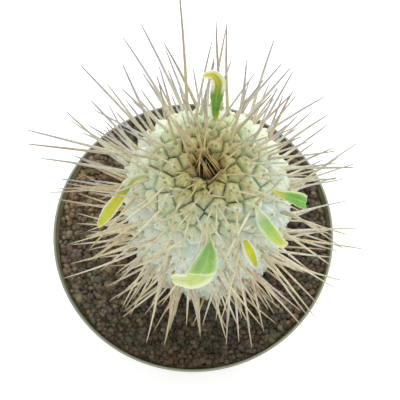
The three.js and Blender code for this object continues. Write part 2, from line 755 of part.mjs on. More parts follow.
const plant = new THREE.Group();
plant.add(buildPot(), buildGravel(), buildStem(), ...LEAVES.map(buildLeaf));

export default plant;
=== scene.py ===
"""Looks for a potted halfmens: a pot of gravel, a spiny stem and six leaves, then the studio round them."""

import bmesh
import bpy
import numpy as np
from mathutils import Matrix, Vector


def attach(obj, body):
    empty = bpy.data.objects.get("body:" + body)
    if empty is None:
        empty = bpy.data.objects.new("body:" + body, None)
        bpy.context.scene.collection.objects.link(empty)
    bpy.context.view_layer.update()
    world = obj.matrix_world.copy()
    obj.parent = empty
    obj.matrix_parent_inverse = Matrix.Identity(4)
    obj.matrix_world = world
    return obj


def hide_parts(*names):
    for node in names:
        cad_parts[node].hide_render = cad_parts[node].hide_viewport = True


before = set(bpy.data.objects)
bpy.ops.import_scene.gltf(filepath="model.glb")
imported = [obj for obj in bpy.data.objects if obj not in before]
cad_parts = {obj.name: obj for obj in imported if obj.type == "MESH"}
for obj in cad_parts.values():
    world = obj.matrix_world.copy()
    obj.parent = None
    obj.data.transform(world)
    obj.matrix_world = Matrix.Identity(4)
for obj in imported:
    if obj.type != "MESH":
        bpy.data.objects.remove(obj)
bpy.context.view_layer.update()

# The pot. One thin-walled round pot of grey-green polypropylene, moulded in one shot. A collar stiffens
# its lip, and it stands on a notched foot ring and a boss in the middle of its drilled floor.

MM = 0.001
POT_LIP_RADIUS = 60.0
POT_HEIGHT = 92.0
POT_FOOT_RADIUS = 42.0
POT_WALL = 1.0
LIP_BEAD = 1.3
COLLAR_HEIGHT = 11.0
COLLAR_STEP = 2.0
COLLAR_FLARE = 2.0
FLOOR_TOP = 3.6
FLOOR_UNDERSIDE = 2.0
FOOT_WIDTH = 4.0
BOSS_RADIUS = 12.0
DRAIN_HOLES = 8
DRAIN_HOLE_RADIUS = 3.6
DRAIN_CIRCLE_RADIUS = 26.0
FOOT_NOTCH_WIDTH = 7.0
FOOT_NOTCH_HEIGHT = 1.6
FOOT_BAND = 3.0
FLOOR_BEVEL = 0.6
BEAD_DEPTH = 1.6
COLLAR_SLOPE = 1.6
# The lip's colours from its inner edge to its outer edge: a painted highlight on its top that darkens
# inwards as painted shade.
POT_BEAD_HIGHLIGHT_COLOURS = (
    (0, (106, 110, 90)), (0.35, (130, 136, 118)), (0.7, (146, 153, 136)), (1, (152, 160, 144)),
)
COLLAR_FOOT = POT_HEIGHT - COLLAR_HEIGHT
COLLAR_FOOT_RADIUS = POT_LIP_RADIUS - COLLAR_FLARE
POT_SIDES = 192
POLE_RADIUS = 0.005


def light(colour):
    """A grey level, or linear light with an alpha, as it is. A screen colour, 0 to 255 each, is made linear:
    ((c + 0.055) / 1.055) ** 2.4."""
    if np.isscalar(colour):
        return (colour, colour, colour, 1.0)
    if len(colour) == 4:
        return colour
    screen = np.array(colour) / 255
    level = np.where(screen <= 0.04045, screen / 12.92, ((screen + 0.055) / 1.055) ** 2.4)
    return (*level.tolist(), 1.0)


class Finish:
    """A material that is put together node by node. Its settings are the shader's constants, such as
    Roughness=0.5, with a _ for each space in the name."""

    def __init__(self, name, **settings):
        self.material = bpy.data.materials.new(name)
        self.material.use_nodes = True
        self.shader = self.material.node_tree.nodes["Principled BSDF"]
        for socket, value in settings.items():
            self.shader.inputs[socket.replace("_", " ")].default_value = value

    def node(self, kind, inputs, output=0, **settings):
        """An output of one more node. Each input is a value, or the output of another node joined to it."""
        made = self.material.node_tree.nodes.new("ShaderNode" + kind)
        for name, value in settings.items():
            setattr(made, name, value)
        for socket, value in inputs.items():
            if isinstance(value, bpy.types.NodeSocket):
                self.material.node_tree.links.new(value, made.inputs[socket])
            else:
                made.inputs[socket].default_value = value
        return made.outputs[output]

    def point(self):
        """A point's place on the object, in metres."""
        return self.node("TexCoord", {}, "Object")

    def along(self, axis):
        """A point's place along X, Y or Z."""
        return self.node("SeparateXYZ", {0: self.point()}, axis)

    def own(self, name):
        """One of the piece's own numbers at a point."""
        return self.node("Attribute", {}, "Fac", attribute_name=name)

    def band(self, place, start, end, low, high):
        """Low up to a place in millimetres, high from the next on, and even between them."""
        return self.node("MapRange", {0: place, 1: start * MM, 2: end * MM, 3: low, 4: high})

    def noise(self, scale, detail=3, stretch=None):
        """Cloudy noise over the object, 0 to 1. Scale is in clouds to the metre, and stretch is per axis."""
        point = self.point()
        if stretch:
            point = self.node("Mapping", {"Vector": point, "Scale": stretch})
        return self.node("TexNoise", {"Vector": point, "Scale": scale, "Detail": detail})

    def ramp(self, factor, *stops):
        """The colour that (position, colour) stops give at a factor."""
        colour = self.node("ValToRGB", {"Fac": factor})
        elements = colour.node.color_ramp.elements
        while len(elements) < len(stops):
            elements.new(0.5)
        for element, (position, shade) in zip(elements, stops):
            element.position = position
            element.color = light(shade)
        return colour

    def mixed(self, share, first, second, blend="MIX"):
        """The first colour with a share of the second laid over it."""
        pair = [part if isinstance(part, bpy.types.NodeSocket) else light(part) for part in (first, second)]
        return self.node("Mix", {0: share, 6: pair[0], 7: pair[1]}, 2, data_type="RGBA", blend_type=blend)

    def tinted(self, colour, tint, share=1.0):
        """The colour multiplied by a share of a tint."""
        return self.mixed(share, colour, tint, "MULTIPLY")

    def times(self, first, second):
        """Two numbers multiplied."""
        return self.node("Math", {0: first, 1: second}, operation="MULTIPLY")

    def finished(self, colour, height=None, depth=0.0):
        """The material, its colour joined to the shader, and a height as a bump this many metres deep."""
        links = self.material.node_tree.links
        links.new(colour, self.shader.inputs["Base Color"])
        if height is not None:
            bump = self.node("Bump", {"Height": height, "Distance": depth, "Strength": 1.0})
            links.new(bump, self.shader.inputs["Normal"])
        return self.material


def make_piece(name, points, faces, material):
    """A mesh object from points in millimetres and a list of face arrays, one for each number of corners."""
    mesh = bpy.data.meshes.new(name)
    mesh.vertices.add(len(points))
    mesh.vertices.foreach_set("co", (np.asarray(points) * MM).astype(np.float32).ravel())
    corners = np.concatenate([np.asarray(part, np.int32).ravel() for part in faces])
    sizes = np.concatenate([np.full(len(part), part.shape[1], np.int32) for part in faces])
    mesh.loops.add(len(corners))
    mesh.loops.foreach_set("vertex_index", corners)
    mesh.polygons.add(len(sizes))
    mesh.polygons.foreach_set("loop_start", np.concatenate([[0], np.cumsum(sizes)[:-1]]).astype(np.int32))
    mesh.polygons.foreach_set("use_smooth", np.ones(len(sizes), bool))
    mesh.update(calc_edges=True)
    mesh.validate()
    mesh.materials.append(material)
    piece = bpy.data.objects.new(name, mesh)
    bpy.context.scene.collection.objects.link(piece)
    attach(piece, "root")
    return piece


def give_number(piece, name, values):
    """Keeps one number for each point of a piece, for its material to read."""
    made = piece.data.attributes.new(name, "FLOAT", "POINT")
    made.data.foreach_set("value", np.asarray(values, np.float32).ravel())


def ring_faces(rows, columns):
    """Faces between the rings of a rows by columns grid whose points are numbered row by row."""
    row, column = np.meshgrid(np.arange(rows - 1), np.arange(columns), indexing="ij")
    beside = (column + 1) % columns
    corners = [row * columns + column, (row + 1) * columns + column]
    corners += [(row + 1) * columns + beside, row * columns + beside]
    return np.stack(corners, -1).reshape(-1, 4)


def ease(t):
    """0 to 1, slow at both ends: 3 t^2 - 2 t^3."""
    held = np.clip(t, 0, 1)
    return held * held * (3 - 2 * held)


def rounded(profile, radius, steps=4):
    """A profile with each corner cut back by `radius`, or less on a short side, and bridged by the curve
    (1-t)^2 before + 2 t (1-t) corner + t^2 after."""
    profile = np.asarray(profile, float)
    before = profile[:-2] - profile[1:-1]
    after = profile[2:] - profile[1:-1]
    lengths = np.stack([np.linalg.norm(before, axis=1), np.linalg.norm(after, axis=1)])
    cut = np.minimum(radius, 0.45 * lengths.min(0))[:, None]
    start = profile[1:-1] + before / lengths[0][:, None] * cut
    end = profile[1:-1] + after / lengths[1][:, None] * cut
    t = np.linspace(0, 1, steps + 1)[:, None, None]
    curve = (1 - t) ** 2 * start + 2 * t * (1 - t) * profile[1:-1] + t**2 * end
    return np.concatenate([profile[:1], curve.transpose(1, 0, 2).reshape(-1, 2), profile[-1:]])


def pot_outer_radius(z):
    """The wall widens evenly from the foot, and the collar steps out from it and flares to the lip."""
    on_collar = COLLAR_FOOT_RADIUS + COLLAR_FLARE * (z - COLLAR_FOOT) / COLLAR_HEIGHT
    wall_top = COLLAR_FOOT_RADIUS - COLLAR_STEP
    on_wall = POT_FOOT_RADIUS + (wall_top - POT_FOOT_RADIUS) * z / COLLAR_FOOT
    return np.where(z >= COLLAR_FOOT, on_collar, on_wall)


def turned_grid(profile, sides):
    """Rings of points at radius r and height z for each (r, z) of a profile."""
    angle = np.arange(sides) * 2 * np.pi / sides
    r, z = np.asarray(profile).T[:, :, None]
    return np.stack([r * np.cos(angle), r * np.sin(angle), z + 0 * angle], -1)


def notched(grid):
    """Lifts the foot ring's low points to the notch height over eight short arcs."""
    angle = np.arctan2(grid[..., 1], grid[..., 0])
    pitch = 2 * np.pi / DRAIN_HOLES
    from_notch = np.abs((angle / pitch) % 1 - 0.5) * pitch * POT_FOOT_RADIUS
    in_notch = 1 - ease((from_notch - FOOT_NOTCH_WIDTH / 2 + 0.8) / 1.4)
    on_ring = np.hypot(grid[..., 0], grid[..., 1]) > POT_FOOT_RADIUS - FOOT_WIDTH - 1.5
    lift = np.where(on_ring, np.maximum(FOOT_NOTCH_HEIGHT - grid[..., 2], 0) * in_notch, 0)
    grid[..., 2] += lift
    return grid


def drilled_ring(inner, outer, low, high):
    """The floor between two radii, with a round hole in each eighth of it. On both its faces, points run
    straight from the rim of the hole to the edge of its eighth, and the hole's wall joins the faces."""
    arc = POT_SIDES // DRAIN_HOLES
    side = 8
    half = np.pi / DRAIN_HOLES
    out = np.linspace(-half, half, arc + 1)[:-1]
    along = np.linspace(0, 1, side + 1)[:-1]
    edge_radius = np.concatenate([out * 0 + outer, outer + (inner - outer) * along])
    edge_radius = np.concatenate([edge_radius, out * 0 + inner, inner + (outer - inner) * along])
    edge_angle = np.concatenate([out, along * 0 + half, -out, along * 0 - half])
    edge = np.stack([edge_radius * np.cos(edge_angle), edge_radius * np.sin(edge_angle)], -1)
    centre = np.array([DRAIN_CIRCLE_RADIUS, 0])
    direction = (edge - centre) / np.linalg.norm(edge - centre, axis=1, keepdims=True)
    rim = centre + DRAIN_HOLE_RADIUS * direction
    shares = np.array([1, 0.66, 0.33, 0.1, 0])[:, None, None]
    face = rim + (edge - rim) * shares
    rows = np.concatenate([face, face[::-1]])
    z = np.repeat([low, high], len(shares))[:, None] + 0 * rows[..., 0]
    grids = []
    for hole in range(DRAIN_HOLES):
        turn = hole * 2 * np.pi / DRAIN_HOLES
        x = rows[..., 0] * np.cos(turn) - rows[..., 1] * np.sin(turn)
        y = rows[..., 0] * np.sin(turn) + rows[..., 1] * np.cos(turn)
        grids.append(np.stack([x, y, z], -1))
    return grids


def welded(piece, distance):
    """Merges points closer than a distance in millimetres, so that grids which meet become one surface."""
    shape = bmesh.new()
    shape.from_mesh(piece.data)
    bmesh.ops.remove_doubles(shape, verts=shape.verts, dist=distance * MM)
    shape.to_mesh(piece.data)
    shape.free()


def pot_finish():
    """Satin grey-green plastic: cloudy dust, brown inside, a lip painted pale as a highlight that darkens
    towards its inner edge as painted shade, and a faint moulded grain.
    """
    plastic = Finish("pot_plastic", Roughness=0.46, Specular_IOR_Level=0.42)
    base = plastic.ramp(plastic.noise(55, 5), (0.3, (92, 94, 70)), (0.62, (108, 110, 84)))
    specks = plastic.ramp(plastic.noise(900, 2), (0.6, 0), (0.72, 1))
    dusty = plastic.mixed(plastic.times(specks, 0.3), base, (146, 144, 118))
    height = plastic.along("Z")
    lip = plastic.band(height, POT_HEIGHT - 0.8, POT_HEIGHT - 0.1, 0, 0.95)
    # The bead's ramp paints a highlight on the lip's top, with painted shade towards its inner edge; worn
    # carries that painted highlight.
    bead = plastic.ramp(plastic.own("bead"), *POT_BEAD_HIGHLIGHT_COLOURS)
    worn = plastic.mixed(lip, dusty, bead)
    below = plastic.band(height, POT_HEIGHT - 1.7, POT_HEIGHT - 0.8, 0.95, 0)
    brown = plastic.ramp(plastic.noise(160, 5), (0.3, (124, 117, 86)), (0.7, (156, 144, 110)))
    colour = plastic.mixed(plastic.times(plastic.own("inside"), below), worn, brown)
    return plastic.finished(colour, plastic.noise(2400, 2), 0.00004)


below_collar = COLLAR_FOOT - 0.2
inner_floor = BOSS_RADIUS + FLOOR_BEVEL
outer_floor = POT_FOOT_RADIUS - FOOT_WIDTH - FLOOR_BEVEL
underside = [(POLE_RADIUS, 0), (BOSS_RADIUS, 0), (inner_floor, FLOOR_UNDERSIDE)]
walls = [
    (outer_floor, FLOOR_UNDERSIDE),
    (POT_FOOT_RADIUS - FOOT_WIDTH, 0),
    (POT_FOOT_RADIUS, 0),
    (pot_outer_radius(FOOT_BAND), FOOT_BAND),
    (pot_outer_radius(below_collar), below_collar),
    (COLLAR_FOOT_RADIUS, COLLAR_FOOT),
    (POT_LIP_RADIUS, POT_HEIGHT),
    (POT_LIP_RADIUS - LIP_BEAD, POT_HEIGHT),
    (POT_LIP_RADIUS - LIP_BEAD, POT_HEIGHT - BEAD_DEPTH),
    (COLLAR_FOOT_RADIUS - POT_WALL, COLLAR_FOOT + COLLAR_SLOPE),
    (pot_outer_radius(below_collar) - POT_WALL, below_collar),
    (pot_outer_radius(FLOOR_TOP) - POT_WALL, FLOOR_TOP),
    (outer_floor, FLOOR_TOP),
]
boss_grid = turned_grid(rounded(underside, radius=0.5), POT_SIDES)
wall_grid = notched(turned_grid(rounded(walls, radius=0.6), POT_SIDES))
top_grid = turned_grid([(inner_floor, FLOOR_TOP), (POLE_RADIUS, FLOOR_TOP)], POT_SIDES)
turned_grids = [(grid, -1) for grid in (boss_grid, wall_grid, top_grid)]
drilled_grids = [(grid, 1) for grid in drilled_ring(inner_floor, outer_floor, FLOOR_UNDERSIDE, FLOOR_TOP)]
pot_points = []
pot_faces = []
for grid, way_round in turned_grids + drilled_grids:
    points_before = sum(len(part) for part in pot_points)
    pot_faces.append(ring_faces(*grid.shape[:2])[:, ::way_round] + points_before)
    pot_points.append(grid.reshape(-1, 3))
plastic = pot_finish()
pot = make_piece("pot_moulding", np.concatenate(pot_points), [np.concatenate(pot_faces)], plastic)
welded(pot, distance=0.03)
co = np.empty(3 * len(pot.data.vertices), np.float32)
pot.data.vertices.foreach_get("co", co)
x, y, z = co.reshape(-1, 3).T / MM
give_number(pot, "inside", (np.hypot(x, y) < pot_outer_radius(z) - 0.7 * POT_WALL) & (z > FLOOR_TOP - 0.1))
give_number(pot, "bead", np.clip((np.hypot(x, y) - POT_LIP_RADIUS) / LIP_BEAD + 1, 0, 1))
pot.data.set_sharp_from_angle(angle=np.radians(50))
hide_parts("pot")

# The gravel. Dark brown rounded grains of lava and pumice, 1.5 to 4 mm, poured round the root to a few
# millimetres below the lip. A dark bed fills the pot, and two layers of loose grains lie on it.

STEM_X = 5.65
STEM_Y = 1.3
STEM_NECK_RADIUS = 28.4
ROOT_DEPTH = 24.0
GRAVEL_LEVEL = POT_HEIGHT - 6
CLEARANCE = 0.3
GRAIN_SPACING = 2.35
GRAIN_RADII = (1.05, 1.6)
GRAIN_STRAY = 0.7
GRAIN_PRESS = 0.2
GRAVEL_BANK = 1.0
BANK_START = 48.0
BANK_WIDTH = 8.0
RUSTY_PATCH = (-0.044, 0.02, 0.087)
GRAIN_TONES = (
    (0, (68, 62, 51)), (0.18, (90, 80, 66)), (0.34, (110, 94, 78)), (0.5, (100, 87, 84)),
    (0.66, (86, 90, 73)), (0.86, (114, 103, 83)), (0.98, (134, 123, 99)),
)


def beside_pot(z):
    """Radius of the filling at a height: the pot's inner face less one clearance."""
    return pot_outer_radius(z) - POT_WALL - CLEARANCE


def banked(x, y):
    """How much the gravel's top rises near the pot's wall."""
    return GRAVEL_BANK * ease((np.hypot(x, y) - BANK_START) / BANK_WIDTH)


def closed_rings(grid, outwards=1):
    """Points and faces of rings that close on a pole at each end. The poles are the last two points.
    Rings run down and their points anticlockwise from above where outwards is 1, or up where it is -1."""
    rows, columns, _ = grid.shape
    points = np.concatenate([grid.reshape(-1, 3), grid[:1].mean(1), grid[-1:].mean(1)])
    column = np.arange(columns)
    beside = (column + 1) % columns
    last = (rows - 1) * columns
    first_fan = np.stack([column * 0 + rows * columns, column, beside], -1)
    last_fan = np.stack([column * 0 + rows * columns + 1, last + beside, last + column], -1)
    faces = [ring_faces(rows, columns), np.concatenate([first_fan, last_fan])]
    return points, [part[:, ::outwards] for part in faces]


def gravel_bed_grid(columns=240):
    """Rings up the root's hole, out over the top with small waves, and down the pot's inside."""
    a = np.linspace(0.92, 0, 12) * np.pi / 2
    hole_radius = STEM_NECK_RADIUS * np.cos(a) ** 0.8 + CLEARANCE + 0.1
    hole_z = GRAVEL_LEVEL - (ROOT_DEPTH + CLEARANCE) * np.sin(a)
    share = np.linspace(0, 1, 42)[1:-1]
    top_radius = hole_radius[-1] + (beside_pot(GRAVEL_LEVEL) - hole_radius[-1]) * share
    wall_z = (GRAVEL_LEVEL + GRAVEL_BANK, COLLAR_FOOT + 2, COLLAR_FOOT - 0.2, FLOOR_TOP + CLEARANCE)
    wall_z = np.array(wall_z)
    radius = np.concatenate([hole_radius, top_radius, beside_pot(wall_z)])[:, None]
    z = np.concatenate([hole_z, share * 0 + GRAVEL_LEVEL, wall_z])[:, None]
    off_axis = np.concatenate([a * 0 + 1, 1 - share, wall_z * 0])[:, None]
    angle = np.arange(columns) * 2 * np.pi / columns
    x = STEM_X * off_axis + radius * np.cos(angle)
    y = STEM_Y * off_axis + radius * np.sin(angle)
    on_top = np.concatenate([a * 0, ease(np.minimum(share, 1 - share) * 8), wall_z * 0])[:, None]
    waves = np.sin(x * 1.9 + 2 * np.sin(y * 0.7)) * np.sin(y * 1.7 + 2 * np.sin(x * 0.8))
    return np.stack([x, y, z + 0.35 * on_top * waves + (z == GRAVEL_LEVEL) * banked(x, y)], -1)


def pebble():
    """The 26 whole-number points round the origin pushed out to a sphere, and the 24 squares they form."""
    steps = np.array([-1, 0, 1])
    points = np.stack(np.meshgrid(steps, steps, steps, indexing="ij"), -1).reshape(-1, 3)
    points = points[np.abs(points).sum(1) > 0]
    number = {tuple(point): i for i, point in enumerate(points.tolist())}
    faces = []
    for axis in range(3):
        for side in (-1, 1):
            for u in (-1, 0):
                for v in (-1, 0):
                    square = [(u, v), (u + 1, v), (u + 1, v + 1), (u, v + 1)][::side]
                    square = [tuple(np.insert(corner, axis, side).tolist()) for corner in square]
                    faces.append([number[corner] for corner in square])
                    if axis == 1:
                        faces[-1].reverse()
    return points / np.linalg.norm(points, axis=1, keepdims=True), np.array(faces)


def grain_places(seed, level, spread):
    """A jittered hexagonal grid over the ring of gravel, each grain with its own size and height."""
    draws = np.random.default_rng(seed)
    row, column = np.meshgrid(np.arange(-30, 31), np.arange(-26, 27), indexing="ij")
    x = (column + 0.5 * (row % 2)).ravel() * GRAIN_SPACING
    y = row.ravel() * GRAIN_SPACING * 0.866
    x = x + draws.uniform(-GRAIN_STRAY, GRAIN_STRAY, x.shape)
    y = y + draws.uniform(-GRAIN_STRAY, GRAIN_STRAY, y.shape)
    size = draws.uniform(*GRAIN_RADII, x.shape) * np.where(draws.random(x.shape) < 0.12, 1.3, 1)
    fits = np.hypot(x, y) + 0.3 * size < beside_pot(level)
    fits &= np.hypot(x - STEM_X, y - STEM_Y) - 0.6 * size > STEM_NECK_RADIUS + 0.2
    z = level + banked(x, y) + draws.uniform(-spread, spread, x.shape)
    return np.stack([x, y, z], -1)[fits], size[fits], draws


def pour_grains(name, material, seed, level, spread, share):
    """Pebbles, each stretched along three axes of its own, roughened a little, and turned at random. Those
    that touch the pot are flat against it."""
    places, size, draws = grain_places(seed, level, spread)
    kept = draws.random(len(places)) < share
    places, size = places[kept], size[kept]
    ball, squares = pebble()
    count = len(places)
    stretched = ball * draws.uniform(0.68, 1.24, (count, 1, 3)) * size[:, None, None]
    stretched *= draws.uniform(0.84, 1.14, (count, len(ball), 1))
    turns = draws.normal(size=(count, 4))
    w, x, y, z = (turns / np.linalg.norm(turns, axis=1, keepdims=True)).T
    turn = np.array([
        [1 - 2 * (y * y + z * z), 2 * (x * y - z * w), 2 * (x * z + y * w)],
        [2 * (x * y + z * w), 1 - 2 * (x * x + z * z), 2 * (y * z - x * w)],
        [2 * (x * z - y * w), 2 * (y * z + x * w), 1 - 2 * (x * x + y * y)],
    ]).transpose(2, 0, 1)
    points = stretched @ turn.transpose(0, 2, 1) + places[:, None, :]
    reach = np.hypot(points[..., 0], points[..., 1])
    points[..., :2] *= np.minimum(1, (beside_pot(points[..., 2]) + GRAIN_PRESS) / reach)[..., None]
    faces = squares[None] + np.arange(count)[:, None, None] * len(ball)
    piece = make_piece(name, points.reshape(-1, 3), [faces.reshape(-1, 4)], material)
    give_number(piece, "tone", np.repeat(draws.random(count), len(ball)))
    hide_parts("gravel")


def paler_by_wall(stone, colour):
    """The colour made paler over the last millimetres before the pot's wall."""
    level = stone.node("VectorMath", {0: stone.point(), 1: (1, 1, 0)}, operation="MULTIPLY")
    reach = stone.node("VectorMath", {0: level}, "Value", operation="LENGTH")
    return stone.tinted(colour, (1.42, 1.42, 1.4, 1.0), stone.band(reach, 53, 57.5, 0, 1))


def grain_finish():
    """Matt porous stone. Each grain has a tone of its own: black-brown, brown, rust, grey or olive. Some
    patches are rusty, most of all one at the back left. The front is darkened as painted shade, and the left
    is lightened as painted light."""
    stone = Finish("gravel_stone", Roughness=0.9, Specular_IOR_Level=0.25)
    toned = stone.ramp(stone.own("tone"), *GRAIN_TONES)
    rust = stone.ramp(stone.noise(46, 3), (0.56, 0), (0.7, 0.3))
    rusty = stone.mixed(rust, toned, (126, 98, 68))
    from_patch = stone.node("VectorMath", {0: stone.point(), 1: RUSTY_PATCH}, "Value", operation="DISTANCE")
    rusty = stone.mixed(stone.band(from_patch, 6, 20, 0.42, 0), rusty, (128, 100, 66))
    pitted = stone.tinted(rusty, stone.ramp(stone.noise(1500, 4), (0.36, 0.7), (0.6, 1.1)))
    pitted = stone.tinted(pitted, stone.ramp(stone.noise(170, 2), (0.36, (226, 222, 212)), (0.64, 1.16)))
    # Painted shade darkens the gravel towards the front.
    painted_front_shade = stone.mixed(stone.band(stone.along("Y"), -52, -30, 0.34, 0), pitted, (42, 40, 32))
    # Painted light lightens the gravel towards the left.
    dry = stone.tinted(painted_front_shade, (1.3, 1.33, 1.32, 1.0), stone.band(stone.along("X"), -44, -20, 1, 0))
    return stone.finished(paler_by_wall(stone, dry), stone.noise(2600, 3), 0.00025)


def bed_finish():
    """The shadowed fines between and under the grains."""
    fines = Finish("gravel_fines", Roughness=0.95, Specular_IOR_Level=0.2)
    colour = fines.ramp(fines.noise(420, 4), (0.35, (80, 70, 58)), (0.65, (106, 94, 79)))
    return fines.finished(paler_by_wall(fines, colour), fines.noise(900, 4), 0.0006)


bed_points, bed_faces = closed_rings(gravel_bed_grid())
bed = make_piece("gravel_bed", bed_points, bed_faces, bed_finish())
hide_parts("gravel")
grains = grain_finish()
pour_grains("gravel_lower_grains", grains, seed=11, level=GRAVEL_LEVEL + 0.1, spread=0.3, share=1.0)
pour_grains("gravel_upper_grains", grains, seed=12, level=GRAVEL_LEVEL + 1.0, spread=0.45, share=0.72)

# The stem. A swollen living column, covered in tubercles on a golden-angle spiral that are small and
# crowded in the crown. Its waxy skin is khaki cream on the dome and pale grey-green on the wall, with
# dark green creases. It is rooted in the gravel.

STEM_RADIUS = 30.2
STEM_SHOULDER = POT_HEIGHT + 44
STEM_TOP = POT_HEIGHT + 77.4
DOME_SQUARENESS = 2.75
DOME_STEPS = 400
WALL_STEPS = 100
STEM_RINGS = (130, 78, 9)
DOME_RINGS_END = 42
CROWN_RADIUS = 6.4
CROWN_DEPTH = 6.5
GOLDEN_ANGLE = np.pi * (3 - np.sqrt(5))
SPIRAL_START = np.radians(306)
HEXAGON_SHARE = np.sqrt(3) / 2
CROWN_SPACING = 3.9
BODY_SPACING = 7.9
BURIED_SPACING = 18.0
SPACING_GROWS_OVER = 22.0
TUBERCLE_HEIGHT = 3.0
CREASE_DEPTH = 0.35
LEAN_SHARE = 0.12
SPINE_SUNK = 1.7
ROOT_SPREAD = 0.13
# The first two stops paint the crown's hollow near-black as painted shade.
SKIN_AND_HOLLOW_SHADE_COLOURS = (
    (0, (12, 9, 5)), (0.068, (24, 17, 8)), (0.084, (124, 108, 54)), (0.106, (166, 161, 100)),
    (0.18, (176, 180, 128)), (0.25, (192, 202, 162)), (0.31, (214, 220, 202)), (0.42, (216, 222, 210)),
    (0.6, (210, 220, 211)), (0.85, (206, 212, 194)),
)


def draw(item, purpose):
    """A repeatable draw from 0 to 1: the fraction of 43758.5453 sin(12.9898 item + 78.233 purpose)."""
    stretched = np.sin(item * 12.9898 + purpose * 78.233) * 43758.5453
    return stretched - np.floor(stretched)


def skin_outline():
    """Radius and height of the skin from the crown's centre down. The dome is a superellipse of power
    2.75 with a smooth hollow at its top, the wall narrows to the neck, and the root tapers to a point.
    Distance and the area covered are summed along it."""
    a = np.arange(DOME_STEPS + 1) / DOME_STEPS * np.pi / 2
    t = np.arange(1, WALL_STEPS + 1) / WALL_STEPS
    dome_r = STEM_RADIUS * np.sin(a) ** (2 / DOME_SQUARENESS)
    dome = (STEM_TOP - STEM_SHOULDER) * np.maximum(np.cos(a), 0) ** (2 / DOME_SQUARENESS)
    dome_z = STEM_SHOULDER + dome - CROWN_DEPTH * (1 - ease(dome_r / CROWN_RADIUS))
    wall_r = STEM_RADIUS - (STEM_RADIUS - STEM_NECK_RADIUS) * t * t
    wall_z = STEM_SHOULDER + (GRAVEL_LEVEL - STEM_SHOULDER) * t
    root_r = STEM_NECK_RADIUS * np.maximum(np.cos(t * np.pi / 2), 0) ** 0.8
    root_z = GRAVEL_LEVEL - ROOT_DEPTH * np.sin(t * np.pi / 2)
    r = np.concatenate([dome_r, wall_r, root_r])
    z = np.concatenate([dome_z, wall_z, root_z])
    step = np.hypot(np.diff(r), np.diff(z))
    middle = np.maximum((r[1:] + r[:-1]) / 2, 1e-3)
    sums = {"distance": step, "area": 2 * np.pi * middle * step}
    totals = {key: np.concatenate([[0], np.cumsum(part)]) for key, part in sums.items()}
    return {"r": r, "z": z, **totals}


skin = skin_outline()


def skin_at(key, value):
    """The skin where distance or area reaches a value: r, z, distance and the outward normal."""
    low = np.clip(np.searchsorted(skin[key], value, side="right") - 1, 0, len(skin[key]) - 2)
    share = np.clip((value - skin[key][low]) / (skin[key][low + 1] - skin[key][low]), 0, 1)
    place = {}
    for name in ("r", "z", "distance"):
        place[name] = skin[name][low] + (skin[name][low + 1] - skin[name][low]) * share
    fall = skin["z"][low] - skin["z"][low + 1]
    widening = skin["r"][low + 1] - skin["r"][low]
    step = np.hypot(fall, widening)
    return {**place, "outward": fall / step, "upward": widening / step}


def above_skin(place, angle, up):
    """The point at an angle round the stem, raised from the skin along its normal."""
    r = place["r"] + up * place["outward"]
    z = place["z"] + up * place["upward"]
    return np.stack(np.broadcast_arrays(STEM_X + r * np.cos(angle), STEM_Y + r * np.sin(angle), z), -1)


def tubercle_height(place):
    """Low in the crown, full on the wall, and nothing just above the gravel."""
    grown = 0.25 + 0.75 * ease((place["distance"] - 4) / 11)
    return TUBERCLE_HEIGHT * grown * ease((place["z"] - GRAVEL_LEVEL - 1.5) / 5)


def tubercle_spacing(place):
    """Close in the crown, even on the body, and wide where it is buried."""
    spacing = CROWN_SPACING + (BODY_SPACING - CROWN_SPACING) * ease(place["distance"] / SPACING_GROWS_OVER)
    return np.where(place["z"] < GRAVEL_LEVEL - 3, BURIED_SPACING, spacing)


def place_tubercles():
    """Number, spacing, distance and angle of each tubercle. One takes up a hexagon's share of its spacing
    squared, and turns a golden angle on from the last, with a little unevenness in both."""
    rows = []
    area = 0.0
    while area < skin["area"][-1]:
        item = len(rows)
        spacing = float(tubercle_spacing(skin_at("area", area)))
        cell = HEXAGON_SHARE * spacing * spacing
        shifted = area + cell * (0.5 + 0.5 * (draw(item, 1) - 0.5))
        place = skin_at("area", min(shifted, skin["area"][-1]))
        sway = 0.16 * spacing * (draw(item, 2) - 0.5) / max(place["r"], spacing)
        rows.append((item, spacing, place["distance"], SPIRAL_START + item * GOLDEN_ANGLE + sway))
        area += cell
    return np.array(rows, float).T


tubercle, spacing, middle_distance, spiral_angle = place_tubercles()
tip_place = skin_at("distance", np.maximum(middle_distance - LEAN_SHARE * spacing, 0))
tips = above_skin(tip_place, spiral_angle, tubercle_height(tip_place))
tip_normals = above_skin(tip_place, spiral_angle, 1.0) - above_skin(tip_place, spiral_angle, 0.0)
sideways = np.stack([-np.sin(spiral_angle), np.cos(spiral_angle), 0 * spiral_angle], -1)


def nearest(points, centres, count, batch=8000):
    """Numbers of the centres nearest to each point, nearest first, for one batch of points after another."""
    found = np.empty((len(points), count), int)
    for start in range(0, len(points), batch):
        part = points[start : start + batch]
        squared = (centres**2).sum(1) - 2 * part @ centres.T
        close = np.argpartition(squared, count, axis=1)[:, :count]
        order = np.argsort(np.take_along_axis(squared, close, 1), axis=1)
        found[start : start + batch] = np.take_along_axis(close, order, 1)
    return found


